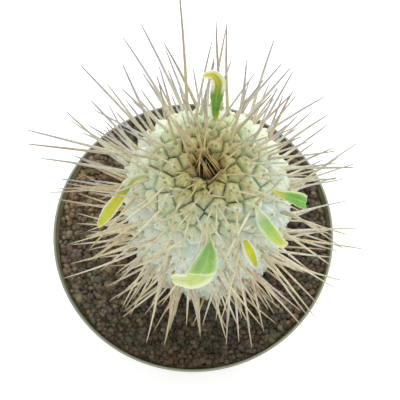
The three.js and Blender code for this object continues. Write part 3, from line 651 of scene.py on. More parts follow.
def stem_grid(columns=440):
    """The skin raised into tubercles. With d1 and d2 the distances to the two nearest tubercle middles and
    D the distance between those, a point is (d2^2 - d1^2) / 2D from the crease between them. Where q is
    that over half the spacing, the skin stands 0.9 h (1 - (1 - q)^2.5)^0.78 high on the dome and
    h (3 q^2 - 2 q^3)^0.8 on the wall, a little more on the side towards the crown, with wrinkles that are
    sin(11 turn + 3 sin(2 turn)) round the tip, a nub at the tip and a groove in the crease. The rings lie
    close on the dome, wider on the wall and widest on the root. The numbers for the material and each
    point's own tubercle are worked out with it."""
    level_distance = float(np.interp(-GRAVEL_LEVEL, -skin["z"][DOME_STEPS:], skin["distance"][DOME_STEPS:]))
    stops = (0.15, DOME_RINGS_END, level_distance + 2, skin["distance"][-1] - 0.5)
    parts = [np.linspace(*stops[i : i + 2], rings)[1:] for i, rings in enumerate(STEM_RINGS)]
    distance = np.concatenate([[stops[0]], *parts])
    place = {key: value[:, None] for key, value in skin_at("distance", distance).items()}
    angle = np.arange(columns)[None, :] * 2 * np.pi / columns
    base = above_skin(place, angle, 0.0).reshape(-1, 3)
    middles = above_skin(skin_at("distance", middle_distance), spiral_angle, 0.0)
    close = nearest(base, middles, 5)
    away = np.linalg.norm(base[:, None, :] - middles[close], axis=2)
    between = np.linalg.norm(middles[close[:, 1:]] - middles[close[:, :1]], axis=2)
    from_crease = ((away[:, 1:] ** 2 - away[:, :1] ** 2) / (2 * between)).min(1)
    own = close[:, 0]
    q = np.clip(from_crease / (0.5 * spacing[own]), 0, 1)
    point_distance = np.repeat(distance, columns)
    crownward = np.clip((middle_distance[own] - point_distance) / (0.5 * spacing[own]), -1, 1)
    soft = ease((point_distance - 18) / 14)
    pillow = 0.9 * (1 - (1 - q) ** 2.5) ** 0.78 * (1 - soft) + ease(q) ** 0.8 * soft
    pillow = pillow * (1 + 0.22 * crownward)
    from_middle = base - above_skin(tip_place, spiral_angle, 0.0)[own]
    from_tip = np.linalg.norm(from_middle, axis=1)
    nub = 0.16 * np.exp(-((from_tip / (0.16 * spacing[own])) ** 2))
    lumps = 0.05 * np.sin(base[:, 0] * 1.3 + 2 * draw(own, 7) * 6) * np.sin(base[:, 2] * 1.7 + base[:, 1])
    upwards = (from_middle * np.cross(tip_normals, sideways)[own]).sum(-1)
    turn = np.arctan2((from_middle * sideways[own]).sum(-1), upwards)
    rays = np.sin(11 * turn + 3 * np.sin(2 * turn + 40 * draw(own, 8)))
    wrinkle = rays * ease(from_tip / (0.3 * spacing[own]))
    lumps = lumps + 0.02 * wrinkle
    height = np.repeat(tubercle_height(place)[:, 0], columns) * ease((point_distance - 4) / 6)
    above_gravel = ease((np.repeat(place["z"][:, 0], columns) - GRAVEL_LEVEL) / 3)
    up = height * (pillow + nub + lumps * q) - CREASE_DEPTH * above_gravel * (1 - ease(q / 0.12))
    points = above_skin(place, angle, up.reshape(len(distance), columns))
    numbers = {"down": point_distance / 100, "crease": from_crease, "wrinkle": 0.5 + 0.5 * wrinkle}
    return points, numbers, own


def skin_finish():
    """Waxy living skin: khaki cream on the dome to pale grey-green on the wall, each tubercle a little
    different, a dry brown crown whose hollow is painted near-black as shade, painted shade by the creases,
    green creases in broken lines, brown scars, painted light on the back of the dome and painted shade on
    its front, and a bloom of fine felt."""
    wax = Finish("stem_skin", Roughness=0.58, Specular_IOR_Level=0.35, Subsurface_Weight=0.12,
                 Subsurface_Scale=0.002, Subsurface_Radius=(1.0, 0.8, 0.5))
    down = wax.own("down")
    colour = wax.ramp(down, *SKIN_AND_HOLLOW_SHADE_COLOURS)
    colour = wax.tinted(colour, wax.ramp(wax.own("tone"), (0, 0.9), (1, 1.05)))
    colour = wax.tinted(colour, wax.ramp(wax.own("wrinkle"), (0, (236, 234, 222)), (1, 1.08)))
    place = wax.along("Y")
    # Painted light brightens the back of the dome.
    behind = wax.times(wax.band(place, 4, 24, 0, 1), wax.ramp(down, (0.38, 1), (0.52, 0.3)))
    colour = wax.tinted(colour, (1.2, 1.24, 1.2, 1.0), behind)
    # Painted shade darkens the front of the dome.
    colour = wax.tinted(colour, (0.95, 0.965, 0.95, 1.0), wax.band(place, -18, -2, 1, 0))
    crease = wax.own("crease")
    # Painted shade darkens the skin next to the creases, most on the dome.
    shade = wax.ramp(crease, (0, (190, 188, 160)), (0.45, (240, 240, 234)), (1, 1.05))
    colour = wax.tinted(colour, shade, wax.ramp(down, (0.2, 1), (0.34, 0.35)))
    on_wall = wax.ramp(down, (0.14, 0.15), (0.3, 1))
    cool = wax.times(on_wall, wax.ramp(wax.noise(170, 3), (0.47, 0), (0.6, 0.7)))
    colour = wax.mixed(wax.times(wax.band(place, -12, 12, 1, 0.35), cool), colour, (190, 212, 210))
    lilac = wax.times(on_wall, wax.ramp(wax.noise(230, 2, (1, 1, 1.4)), (0.54, 0), (0.68, 0.5)))
    colour = wax.mixed(lilac, colour, (214, 206, 206))
    colour = wax.mixed(wax.ramp(wax.noise(330, 2), (0.54, 0), (0.7, 0.4)), colour, (202, 196, 132))
    pale = wax.times(wax.ramp(wax.noise(480, 2), (0.5, 0), (0.66, 0.5)), wax.ramp(down, (0.1, 0), (0.2, 1)))
    colour = wax.mixed(pale, colour, (222, 228, 206))
    groove = wax.ramp(crease, (0.1, 1), (0.3, 0))
    broken = wax.times(groove, wax.ramp(wax.noise(120, 1), (0.5, 0.03), (0.56, 1)))
    line = wax.times(broken, wax.ramp(down, (0.19, 1), (0.33, 0.3)))
    colour = wax.mixed(line, colour, (36, 46, 24))
    colour = wax.mixed(wax.ramp(wax.own("scar"), (0.3, 0.8), (0.9, 0)), colour, (130, 102, 60))
    felt = wax.times(wax.ramp(wax.noise(1900, 3), (0.5, 0), (0.7, 0.35)), on_wall)
    return wax.finished(wax.mixed(felt, colour, (238, 240, 234)), wax.noise(1100, 4), 0.00018)


stem_rings, stem_numbers, own_tubercle = stem_grid()
stem_points, stem_faces = closed_rings(stem_rings)
stem = make_piece("stem_skin", stem_points, stem_faces, skin_finish())
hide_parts("stem")
spine_roots = np.stack([tips + side * ROOT_SPREAD * spacing[:, None] * sideways for side in (-1, 1)], 1)
from_roots = np.linalg.norm(stem_rings.reshape(-1, 1, 3) - spine_roots[own_tubercle], axis=2).min(1)
end_values = {"down": [0, 2], "crease": [1, 1], "wrinkle": [0.5, 0.5], "tone": [0.5, 0.5], "scar": [5, 5]}
point_values = {**stem_numbers, "tone": draw(own_tubercle, 6), "scar": from_roots}
for name, values in point_values.items():
    give_number(stem, name, np.concatenate([values, end_values[name]]))

# The leaves. Six small leaves near the crown, oblong and felted, with crisped pale margins and a midrib
# that stands out below. Each is a living blade about half a millimetre thick on the tip of a tubercle.

LEAF_WAVES = 2.5
LEAF_FOLD = 0.22
LEAF_FOOT_RISE = 0.45
LEAF_FOOT_HALF_WIDTH = 0.75
LEAF_TIP_START = 0.93
LEAF_TIP_LENGTH = 0.0705
# Each leaf's azimuth and reach round the stem, the height of its wave, and its midrib from foot to tip: a
# point, half the blade's width there, and the way its upper side faces.
LEAVES = {
    "leaf_back": (80, 19.6, 0.5, [
        ((9, 21.5, 175), 1.5, (0.1, -0.9, 0.45)),
        ((9.4, 24.9, 181), 2.4, (0.1, -0.9, 0.45)),
        ((9.9, 27.9, 185.5), 2.8, (0.2, -0.8, 0.6)),
        ((8, 29.8, 188.2), 2, (0.2, -0.6, 0.8)),
        ((4.6, 29.3, 188.2), 0.9, (0.1, -0.5, 0.85)),
    ]),
    "leaf_left": (-176, 22.3, 0.4, [
        ((-21.6, -1, 165), 1.5, (-0.2, -0.5, 0.85)),
        ((-24.4, -4, 164.4), 1.9, (-0.2, -0.5, 0.85)),
        ((-27.4, -7.9, 162.4), 2.3, (-0.2, -0.3, 0.9)),
        ((-31.3, -11.9, 159), 2.4, (-0.3, -0.2, 0.9)),
        ((-35.4, -15.6, 154), 1.1, (-0.4, -0.3, 0.85)),
    ]),
    "leaf_right": (-18, 25.2, 0.25, [
        ((33.2, -7.6, 163.8), 1.3, (0.1, -0.2, 0.95)),
        ((36.5, -8.5, 163), 2.3, (0.1, -0.2, 0.97)),
        ((40, -9.1, 160.6), 2.8, (0.4, -0.2, 0.85)),
        ((42, -8.8, 156.4), 2.3, (1, -0.2, 0.1)),
        ((41.2, -8.4, 153.2), 1, (0.7, -0.1, -0.6)),
    ]),
    "leaf_front_right": (-40, 22.6, 0.4, [
        ((25.3, -18, 164.9), 2.5, (0.2, -0.3, 0.95)),
        ((28.1, -21.5, 162.4), 2.8, (0.3, -0.4, 0.9)),
        ((31.2, -23.9, 158.6), 2.2, (0.4, -0.5, 0.8)),
        ((34.6, -24.4, 155.2), 0.8, (0.5, -0.5, 0.7)),
    ]),
    "leaf_small": (-63, 29.2, 0.15, [
        ((18.8, -25.2, 162.2), 1.5, (0.1, -0.3, 0.95)),
        ((20.6, -28.8, 159.8), 2.3, (0.2, -0.5, 0.85)),
        ((22.8, -32.2, 155), 1, (0.3, -0.7, 0.65)),
    ]),
    "leaf_front": (-92, 21.4, 0.45, [
        ((5.5, -26.9, 168.6), 1.2, (0, -0.2, 0.95)),
        ((5.2, -31.5, 168.8), 3.3, (0, -0.2, 0.95)),
        ((3.3, -36.6, 167.2), 4.6, (-0.1, -0.4, 0.9)),
        ((-1, -39, 163.4), 3.5, (-0.2, -0.7, 0.65)),
        ((-4.8, -38.2, 160.6), 3, (-0.3, -0.7, 0.6)),
        ((-8, -37.2, 158.4), 1.5, (-0.4, -0.6, 0.6)),
    ]),
}


def unit(vectors):
    """The same directions with a length of 1."""
    return vectors / np.linalg.norm(vectors, axis=-1, keepdims=True)


def smooth_through(stops, t):
    """Values at t, 0 to 1, on a smooth curve through evenly spaced stops. Each stretch is a cubic whose
    slope at a stop is half the way from the stop before it to the one after."""
    stops = np.asarray(stops, float)
    last = len(stops) - 1
    i = np.minimum(np.floor(t * last).astype(int), last - 1)
    f = (t * last - i).reshape(-1, *[1] * (stops.ndim - 1))
    before, start, end = stops[np.maximum(i - 1, 0)], stops[i], stops[i + 1]
    after = stops[np.minimum(i + 2, last)]
    bend = 2 * before - 5 * start + 4 * end - after + f * (3 * (start - end) + after - before)
    return start + 0.5 * f * (end - before + f * bend)


def leaf_frame(leaf, t):
    """Along a leaf's midrib at each t: its points, its sideways and upward directions, half the blade's
    width, and the number of the leaf's own tubercle. The curve starts just above the tip of that one, which
    is the nearest to the leaf's azimuth and reach."""
    azimuth, reach, _, rows = LEAVES[leaf]
    azimuth = np.radians(azimuth)
    wanted = np.array([STEM_X + reach * np.cos(azimuth), STEM_Y + reach * np.sin(azimuth)])
    away = np.linalg.norm(tips[:, :2] - wanted, axis=1) + 1000 * (tips[:, 2] <= STEM_SHOULDER)
    own = int(np.argmin(away))
    foot = tips[own] + LEAF_FOOT_RISE * tip_normals[own]
    middles = [foot] + [row[0] for row in rows]
    halves = [LEAF_FOOT_HALF_WIDTH] + [row[1] for row in rows]
    faces = [rows[0][2]] + [row[2] for row in rows]
    step = 0.02
    ahead = smooth_through(middles, np.minimum(t + step, 1))
    along = unit(ahead - smooth_through(middles, np.maximum(t - step, 0)))
    face = smooth_through(faces, t)
    face = unit(face - (face * along).sum(-1, keepdims=True) * along)
    return smooth_through(middles, t), np.cross(along, face), face, smooth_through(halves, t), own


def leaf_middle(leaf, t, across):
    """The blade's middle surface: half the width times `across` to the side, lifted by the fold in
    proportion to |across| and by the wave sin(2 pi 2.5 t + 2 across) across^2, which grows over the first
    third of the blade."""
    middle, side, face, half, _ = leaf_frame(leaf, t)
    half = half[:, None]
    ripple = np.sin(2 * np.pi * LEAF_WAVES * t[:, None] + 2 * across) * across**2 * ease(3 * t[:, None])
    lift = LEAF_FOLD * half * np.abs(across) + LEAVES[leaf][2] * ripple
    return middle[:, None] + side[:, None] * (half * across)[..., None] + face[:, None] * lift[..., None]


def tubes(paths, radii, references, sides=6):
    """Round tubes along paths, with a pole at each end. A ring's points lie at cos a and sin a times the
    radius along two directions square to the path, of which the first is square to a reference too."""
    tangent = unit(np.gradient(paths, axis=1))
    first = unit(np.cross(tangent, references[:, None, :]))
    second = np.cross(tangent, first)
    angle = np.arange(sides)[:, None] * 2 * np.pi / sides
    ring = first[:, :, None] * np.cos(angle) + second[:, :, None] * np.sin(angle)
    grid = paths[:, :, None] + radii[:, :, None, None] * ring
    count, rows = radii.shape
    points = np.concatenate([grid.reshape(count, -1, 3), paths[:, :1], paths[:, -1:]], 1)
    start = np.arange(count)[:, None, None] * (rows * sides + 2)
    _, faces = closed_rings(grid[0], -1)
    return points.reshape(-1, 3), [(part + start).reshape(-1, part.shape[1]) for part in faces]


def build_leaf(leaf, material):
    """A blade with an upper and a lower skin about the middle surface, 0.6 mm thick at the midrib and
    thinner to the margins, which are crisped by short ripples. Side veins, cos(phase)^8, are sunk in the
    upper skin and stand out on the lower one. A tapering tube below is the midrib and the stalk down into
    the tubercle."""
    rows, columns = 96, 28
    t = np.linspace(0, 1, rows)
    across = np.linspace(-1, 1, columns + 1)[None, :]
    tip_round = np.sqrt(1 - np.clip((t - LEAF_TIP_START) / LEAF_TIP_LENGTH, 0, 1) ** 2)[:, None]
    middle = leaf_middle(leaf, t, across)
    ribs = leaf_middle(leaf, t, np.zeros((1, 1)))
    middle = ribs + (middle - ribs) * tip_round[..., None]
    forward = np.gradient(middle, axis=0)
    sideways_step = np.gradient(middle, axis=1)
    normal = unit(np.cross(sideways_step, forward))
    _, _, _, half, own = leaf_frame(leaf, t)
    number = list(LEAVES).index(leaf)
    margin = ease((np.abs(across) - 0.62) / 0.38) * ease(t[:, None] * 6)
    length = np.concatenate([[0], np.cumsum(np.linalg.norm(np.diff(ribs[:, 0], axis=0), axis=1))])[:, None]
    crisp = np.sin(length * 3.1 + 1.4 * np.sin(length * 0.9 + number) + np.where(across > 0, 1.7, 0))
    vein_phase = length * 1.6 - 2.2 * np.abs(across) * half[:, None] / 2
    vein = np.cos(vein_phase) ** 8 * ease(np.abs(across) * 5) * (1 - margin)
    lift = 0.22 * margin * crisp - 0.1 * np.exp(-((across * half[:, None] / 0.35) ** 2))
    thick = 0.3 - 0.15 * np.abs(across) ** 3 + 0 * lift
    upper = middle + normal * (lift - 0.03 * vein + thick)[..., None]
    lower = middle + normal * (lift - 0.02 * vein - thick)[..., None]
    loops = np.concatenate([upper, lower[:, ::-1]], 1)
    blade_points, blade_faces = closed_rings(loops, -1)
    stalk_t = np.linspace(0, LEAF_TIP_START, 16)
    ribs_below = leaf_middle(leaf, stalk_t, np.zeros((1, 1)))[:, 0] - leaf_frame(leaf, stalk_t)[2] * 0.28
    sunk = tips[own] - 1.4 * tip_normals[own]
    path = np.concatenate([[sunk, tips[own] + 0.15 * tip_normals[own]], ribs_below[1:]])[None]
    tapering = np.interp(stalk_t[1:], [0, 0.15, LEAF_TIP_START], [0.7, 0.5, 0.16])
    radius = np.concatenate([[0.95, 0.8], tapering])[None]
    stalk_points, stalk_faces = tubes(path, radius, leaf_frame(leaf, np.array([0.05]))[1], 10)
    shift = len(blade_points)
    faces = blade_faces + [part + shift for part in stalk_faces]
    points = np.concatenate([blade_points, stalk_points])
    piece = make_piece(f"{leaf}_blade", points, faces, material)
    stalk_share = np.repeat(np.concatenate([[0, 0], stalk_t[1:]]), 10)

    def give(name, above, below, at_poles, on_stalk, at_stalk_poles):
        """Keeps a number for the two skins, the blade's poles, the stalk and the stalk's poles."""
        around = np.concatenate([above, below[:, ::-1]], 1).ravel()
        give_number(piece, name, np.concatenate([around, at_poles, on_stalk, at_stalk_poles]))

    skewed = t[:, None] - LEAF_SKEWS.get(leaf, 0) * across * ease(t / 0.45)[:, None]
    edge = np.abs(across) + 0 * vein
    # The felt mask also carries the front leaf's painted light and painted highlight.
    felt = LEAF_FELT_AND_PAINTED_LIGHT[leaf](skewed, across) + 0 * vein
    give("along", skewed + 0 * vein, skewed + 0 * vein, [0, 1], stalk_share, [0, LEAF_TIP_START])
    give("edge", edge, edge, [0, 1], 0 * stalk_share, [0, 0])
    give("vein", vein, vein, [0, 0], 0 * stalk_share + 0.6, [0, 0])
    give("felt", felt, 0.6 + 0.4 * felt, [0, 0], 0 * stalk_share + 0.3, [0, 0])
    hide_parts(leaf)


def leaf_finish(leaf, stops, felt_and_painted_light_colour, dry):
    """Felted leaf: its own greens along the blade, paler veins and midrib, pale felt, which on the front
    leaf also stands for painted light on the bent-down half and a painted highlight along the bend, and
    margins that are pale and dry by a share of `dry`."""
    green = Finish(leaf, Roughness=0.6, Specular_IOR_Level=0.35, Subsurface_Weight=0.2,
                   Subsurface_Scale=0.0012, Subsurface_Radius=(0.8, 1.0, 0.3))
    colour = green.ramp(green.own("along"), *stops)
    colour = green.tinted(colour, green.ramp(green.noise(300, 3), (0.36, 0.92), (0.64, 1.06)))
    colour = green.mixed(green.ramp(green.own("vein"), (0.2, 0), (0.9, 0.07)), colour, (206, 214, 138))
    colour = green.mixed(green.ramp(green.own("edge"), (0.02, 0.4), (0.16, 0)), colour, (186, 208, 124))
    # Felt pales the blade, and on the front leaf painted light and a painted highlight do as well.
    colour = green.mixed(green.ramp(green.own("felt"), (0.1, 0), (0.9, 0.85)), colour, felt_and_painted_light_colour)
    colour = green.mixed(green.ramp(green.own("edge"), (0.84, 0), (0.99, dry)), colour, (226, 228, 202))
    colour = green.mixed(green.ramp(green.noise(2200, 2), (0.54, 0), (0.72, 0.16)), colour, (222, 226, 202))
    return green.finished(colour, green.noise(1300, 3), 0.00016)


# Each leaf's colours from stalk to tip, its felt's colour and how dry its margins are. On the front leaf,
# the paler colours past the middle and the felt's colour are partly painted light on the bent-down half.
LEAF_LOOKS = {
    "leaf_back": ((
        (0.08, (178, 196, 44)), (0.22, (96, 148, 46)), (0.4, (104, 150, 44)), (0.56, (152, 156, 34)),
        (0.8, (188, 182, 34)), (0.96, (212, 206, 90)),
    ), (220, 224, 192), 0.65),
    "leaf_left": ((
        (0.1, (170, 184, 96)), (0.42, (120, 148, 44)), (0.6, (190, 182, 26)), (0.95, (184, 194, 60)),
    ), (208, 210, 186), 0.6),
    "leaf_right": ((
        (0.12, (186, 190, 70)), (0.34, (112, 166, 70)), (0.75, (98, 156, 62)), (0.95, (196, 206, 120)),
    ), (206, 216, 160), 0.4),
    "leaf_front_right": ((
        (0.14, (204, 209, 174)), (0.27, (138, 180, 108)), (0.5, (160, 190, 88)), (0.84, (192, 202, 88)),
        (0.98, (222, 222, 180)),
    ), (212, 220, 196), 0.3),
    "leaf_small": ((
        (0.05, (204, 198, 120)), (0.14, (186, 188, 26)), (0.6, (190, 196, 22)), (0.94, (172, 176, 22)),
    ), (214, 210, 212), 0.6),
    "leaf_front": ((
        (0.1, (206, 202, 164)), (0.2, (118, 162, 88)), (0.36, (118, 166, 80)), (0.54, (146, 184, 98)),
        (0.59, (190, 207, 122)), (0.78, (200, 212, 138)), (0.94, (214, 220, 172)),
    ), (232, 236, 206), 0.55),
}
# Where felt whitens each blade, from t along it and `across` it. On the front leaf it also paints light on
# the bent-down half and a thin painted highlight along the bend.
LEAF_FELT_AND_PAINTED_LIGHT = {
    "leaf_back": lambda t, across: 0.95 * ease((np.abs(across) - 0.36) / 0.26) * ease((t - 0.38) / 0.16),
    "leaf_left": lambda t, across: np.maximum(
        ease((0.45 - t) / 0.1) * ease((across + 0.2) / 0.5),
        0.85 * ease((np.abs(across) - 0.62) / 0.28),
    ),
    "leaf_right": lambda t, across: 0.8 * ease((-across - 0.5) / 0.35),
    "leaf_front_right": lambda t, across: np.maximum(
        0.6 * ease((across - 0.3) / 0.6),
        0.8 * ease((-across - 0.6) / 0.3),
    ),
    "leaf_small": lambda t, across: ease((np.abs(across + 0.1) - 0.56) / 0.2),
    # The front leaf's thin pale line at the bend is a painted highlight, and its pale bent-down half is
    # partly felt and partly painted light.
    "leaf_front": lambda t, across: np.maximum(
        0.8 * ease(1 - np.abs(t - 0.56) / 0.022),
        (0.35 + 0.45 * ease((t - 0.56) / 0.06)) * ease((np.abs(across) - 0.4) / 0.5),
    ),
}
# How far a blade's colours slant, by the share of t that they run ahead on one side.
LEAF_SKEWS = {"leaf_front": 0.1}
for leaf in LEAVES:
    build_leaf(leaf, leaf_finish(leaf, *LEAF_LOOKS[leaf]))

# The spines. A pair of hard, straight, tapering spines grows from the tip of each tubercle, cream to tan
# with grey-brown points. About half have worn away on the dome and wall, and the crown's are young.

SPINE_LENGTHS = ((0, 8, 14, 24, 45, 70, 104), (12, 16, 26, 37.5, 35, 27, 18))
SPINE_RISES = ((0, 8, 20, 36, 55, 104), (86, 72, 52, 34, 22, 6))
SPINE_SHARES = ((0, 8, 22, 36, 104), (1, 1, 0.9, 0.55, 0.5))
SINGLE_LENGTHS = ((4, 14, 30, 104), (8, 14, 19, 14))
SINGLE_RISES = ((6, 14, 30, 104), (34, 26, 22, 0))
LIFTS_TRIED = (0, 6, 12, 20, 30)
TURNS_TRIED = (0, 12, -12, 24, -24, 38, -38)
OVER_LIP = POT_HEIGHT + 1.4
OVER_GRAVEL = GRAVEL_LEVEL + 2.6
SPINE_RADIUS = 0.5
HEIGHT_SHARE = 0.4
UNCROSSED_HEIGHT_SHARE = 0.05
UNCROSSED_LEAVES = ("leaf_right", "leaf_front_right", "leaf_small")
VIEW_LEAN = 0.3
HORN_COLOURS = (
    (0, (234, 233, 218)), (0.22, (224, 219, 196)), (0.42, (214, 208, 174)), (0.58, (212, 205, 201)),
    (0.72, (222, 218, 198)), (0.88, (206, 184, 144)), (1, (198, 192, 182)),
)
YOUNG_HORN_COLOURS = (
    (0, (124, 90, 44)), (0.25, (196, 158, 96)), (0.6, (212, 188, 124)), (0.9, (212, 206, 148)),
)
WEATHERED_HORN_COLOURS = (
    (0.15, (174, 175, 175)), (0.6, (186, 183, 174)), (0.86, (180, 170, 154)), (1, (168, 142, 114)),
)


def clear_of_neighbours(roots, directions, lengths):
    """Whether the points along each spine keep above the gravel and the lip, and off the leaves. Height
    counts for less than distance does, and least over the three leaves at the right, which no spine
    crosses as they are seen from above and in front."""
    share = np.arange(3, 21) / 20
    points = roots[:, None] + directions[:, None] * (lengths[:, None] * share)[..., None]
    by_lip = np.hypot(points[..., 0], points[..., 1]) >= POT_LIP_RADIUS - 5
    lowest = np.where(by_lip, OVER_LIP, OVER_GRAVEL)
    clear = (points[..., 2] >= lowest).all(1)
    away_x, away_y, above = np.moveaxis(points[:, :, None] - leaf_points, 3, 0)
    away = np.sqrt(away_x**2 + (away_y + leaf_lean * above) ** 2 + (leaf_height_share * above) ** 2)
    return clear & (away >= leaf_clearance).all((1, 2))


def grow(roots, rises, splays, angles, lengths):
    """Directions of spines that rise and splay by these degrees at these angles round the stem. One that
    isn't clear is lifted and turned by the first of a few fixed steps that clears it."""
    directions = np.zeros_like(roots)
    placed = np.zeros(len(roots), bool)
    for lift in LIFTS_TRIED:
        for turn in TURNS_TRIED:
            waiting = np.flatnonzero(~placed)
            rise = np.radians(rises[waiting] + lift)
            splay = np.radians(splays[waiting] + turn)
            angle = angles[waiting]
            outward = np.cos(rise) * np.cos(splay)
            x = outward * np.cos(angle) - np.sin(splay) * np.sin(angle)
            y = outward * np.sin(angle) + np.sin(splay) * np.cos(angle)
            tried = unit(np.stack([x, y, np.sin(rise) * np.cos(splay)], -1))
            clear = clear_of_neighbours(roots[waiting], tried, lengths[waiting])
            directions[waiting[clear]] = tried[clear]
            placed[waiting[clear]] = True
    return directions, placed


def facing(angle, cosine, over):
    """1 for tubercles that face an angle, and 0 for those turned from it by more than a cosine allows."""
    return ease((np.cos(spiral_angle - angle) - cosine) / over)


def grown_from(roots, kept, rises, splays, lengths):
    """Directions, roots, lengths and distances down the stem of the spines that are kept and find a way.
    They stand in the skin by a set depth."""
    roots = roots - SPINE_SUNK * tip_normals
    lengths = lengths + SPINE_SUNK
    directions, placed = grow(roots[kept], rises[kept], splays[kept], spiral_angle[kept], lengths[kept])
    return [directions[placed]] + [part[kept][placed] for part in (roots, lengths, tip_place["distance"])]


def paired_spines():
    """Spines in pairs, splayed to both sides, by seeded draws. Fewer are kept in front, at the upper left
    and right, and on the dome's right, and a few at the back are the longest."""
    grown = []
    distance = tip_place["distance"]
    closed = 0.5 * (1 - ease((distance - 4) / 8))
    share = 1 - 0.16 * facing(-np.pi / 2, 0.2, 0.5) - 0.4 * facing(2.6, 0.74, 0.14)
    share = share - 0.42 * facing(0.7, 0.6, 0.2) - 0.7 * facing(-0.3, 0.95, 0.02) * (distance < 36)
    above_ground = (tips[:, 2] >= GRAVEL_LEVEL + 3) & (distance > 4)
    for side in (-1, 1):
        vary = [draw(tubercle, 30 + 10 * side + which) for which in range(6)]
        kept = above_ground & (vary[4] < share * np.interp(distance, *SPINE_SHARES))
        rises = np.interp(distance, *SPINE_RISES) + 18 * (vary[0] - 0.5)
        splays = side * (17 + 14 * (vary[1] - 0.5)) * (1 - closed) + 12 * (vary[2] - 0.5)
        longest = (vary[5] > 0.87) & (np.sin(spiral_angle) > 0.1)
        shortened = np.select([vary[5] < 0.5, longest], [1.0, 1.28], 0.66)
        lengths = np.interp(distance, *SPINE_LENGTHS) * (0.76 + 0.42 * vary[3]) * shortened
        grown.append(grown_from(spine_roots[:, (side + 1) // 2], kept, rises, splays, lengths))
    return [np.concatenate(parts) for parts in zip(*grown)]


def single_spines():
    """Shorter, lower spines, up to three to a tubercle. Round the crown they lie along the dome, further
    down about half of the tubercles have one, and half of those in front have worn away."""
    grown = []
    distance = tip_place["distance"]
    by_crown = 1 - ease((distance - 12) / 16)
    low = ease((distance - 55) / 15)
    share = 1 - 0.5 * facing(-np.pi / 2, 0.2, 0.5) * (1 - 0.5 * low)
    share = share - 0.5 * facing(2.8, 0.7, 0.15) - 0.4 * facing(0, 0.8, 0.1)
    above_ground = (tips[:, 2] >= GRAVEL_LEVEL + 3) & (distance > 4.5)
    for turn in (-1, 0, 1):
        vary = [draw(tubercle, 70 + 10 * turn + which) for which in range(4)]
        kept = above_ground & (vary[3] < share * (0.26 * abs(turn) + 0.34 * by_crown))
        rises = np.interp(distance, *SINGLE_RISES) + 18 * (vary[0] - 0.5)
        splays = turn * (7 + 20 * by_crown * vary[1]) + 8 * (vary[1] - 0.5)
        lengths = np.interp(distance, *SINGLE_LENGTHS) * (0.7 + 0.6 * vary[2])
        grown.append(grown_from(tips, kept, rises, splays, lengths))
    return [np.concatenate(parts) for parts in zip(*grown)]


def crown_tuft(count=21):
    """Young spines on the walls of the crown's hollow, most on its front and right. They stand up and
    lean together to the back, and those at the right lean over to the left."""
    draws = np.random.default_rng(31)
    angle = np.radians(-58 + 215 * (np.arange(count) / count - 0.5) * (1 + 0.3 * draws.random(count)))
    down = draws.uniform(4.2, 8.4, count) * (1 - 0.5 * ease(-np.sin(angle)))
    place = skin_at("distance", down)
    roots = above_skin(place, angle, -0.6)
    lean_x = -0.16 - 0.42 * np.cos(angle) + draws.normal(0, 0.1, count)
    lean_y = 0.42 - 0.14 * np.sin(angle) + draws.normal(0, 0.1, count)
    directions = unit(np.stack([lean_x, lean_y, np.ones(count)], -1))
    return directions, roots, draws.uniform(7.5, 12.0, count), 0 * down


def build_spines(name, spines, girths, finish, seed):
    """Needles with a wider root and an even shank, of radius 1.04 (1 - t)^0.48 + 0.22 (1 - t)^4 + 0.06 from
    root to point, each bowed a little to one side by 4 t (1 - t) of up to two hundredths of its length.
    Girths say how thick they are by their distance down the stem. Those on the back are the stoutest and
    the most weathered."""
    directions, roots, lengths, distances = spines
    draws = np.random.default_rng(seed)
    t = np.array([0, 0.1, 0.35, 0.62, 0.83, 0.95, 1])
    count = len(roots)
    around = unit(np.cross(directions, draws.normal(size=(count, 3))))
    bow = 4 * t * (1 - t) * (draws.uniform(0, 0.02, count) * lengths)[:, None]
    paths = roots[:, None] + directions[:, None] * (lengths[:, None] * t)[..., None]
    paths = paths + around[:, None] * bow[..., None]
    behind = (roots[:, 1] - STEM_Y) / np.hypot(roots[:, 0] - STEM_X, roots[:, 1] - STEM_Y)
    stout = SPINE_RADIUS * np.interp(distances, *girths) * (1 + 0.24 * ease((behind + 0.1) / 0.6))
    radii = stout[:, None] * (1.04 * (1 - t) ** 0.48 + 0.22 * (1 - t) ** 4 + 0.06)
    points, faces = tubes(paths, radii, around)
    piece = make_piece(name, points, faces, finish)
    per_ring = np.concatenate([np.repeat(t, 6), [0, 1]])
    give_number(piece, "along", np.tile(per_ring, count))
    give_number(piece, "tint", np.repeat(draws.random(count), len(per_ring)))
    give_number(piece, "down", np.repeat(distances / 100, len(per_ring)))
    weather = ease((behind + 0.5) / 1.1) * ease((distances - 8) / 10)
    give_number(piece, "weather", np.repeat(weather, len(per_ring)))
    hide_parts("stem")


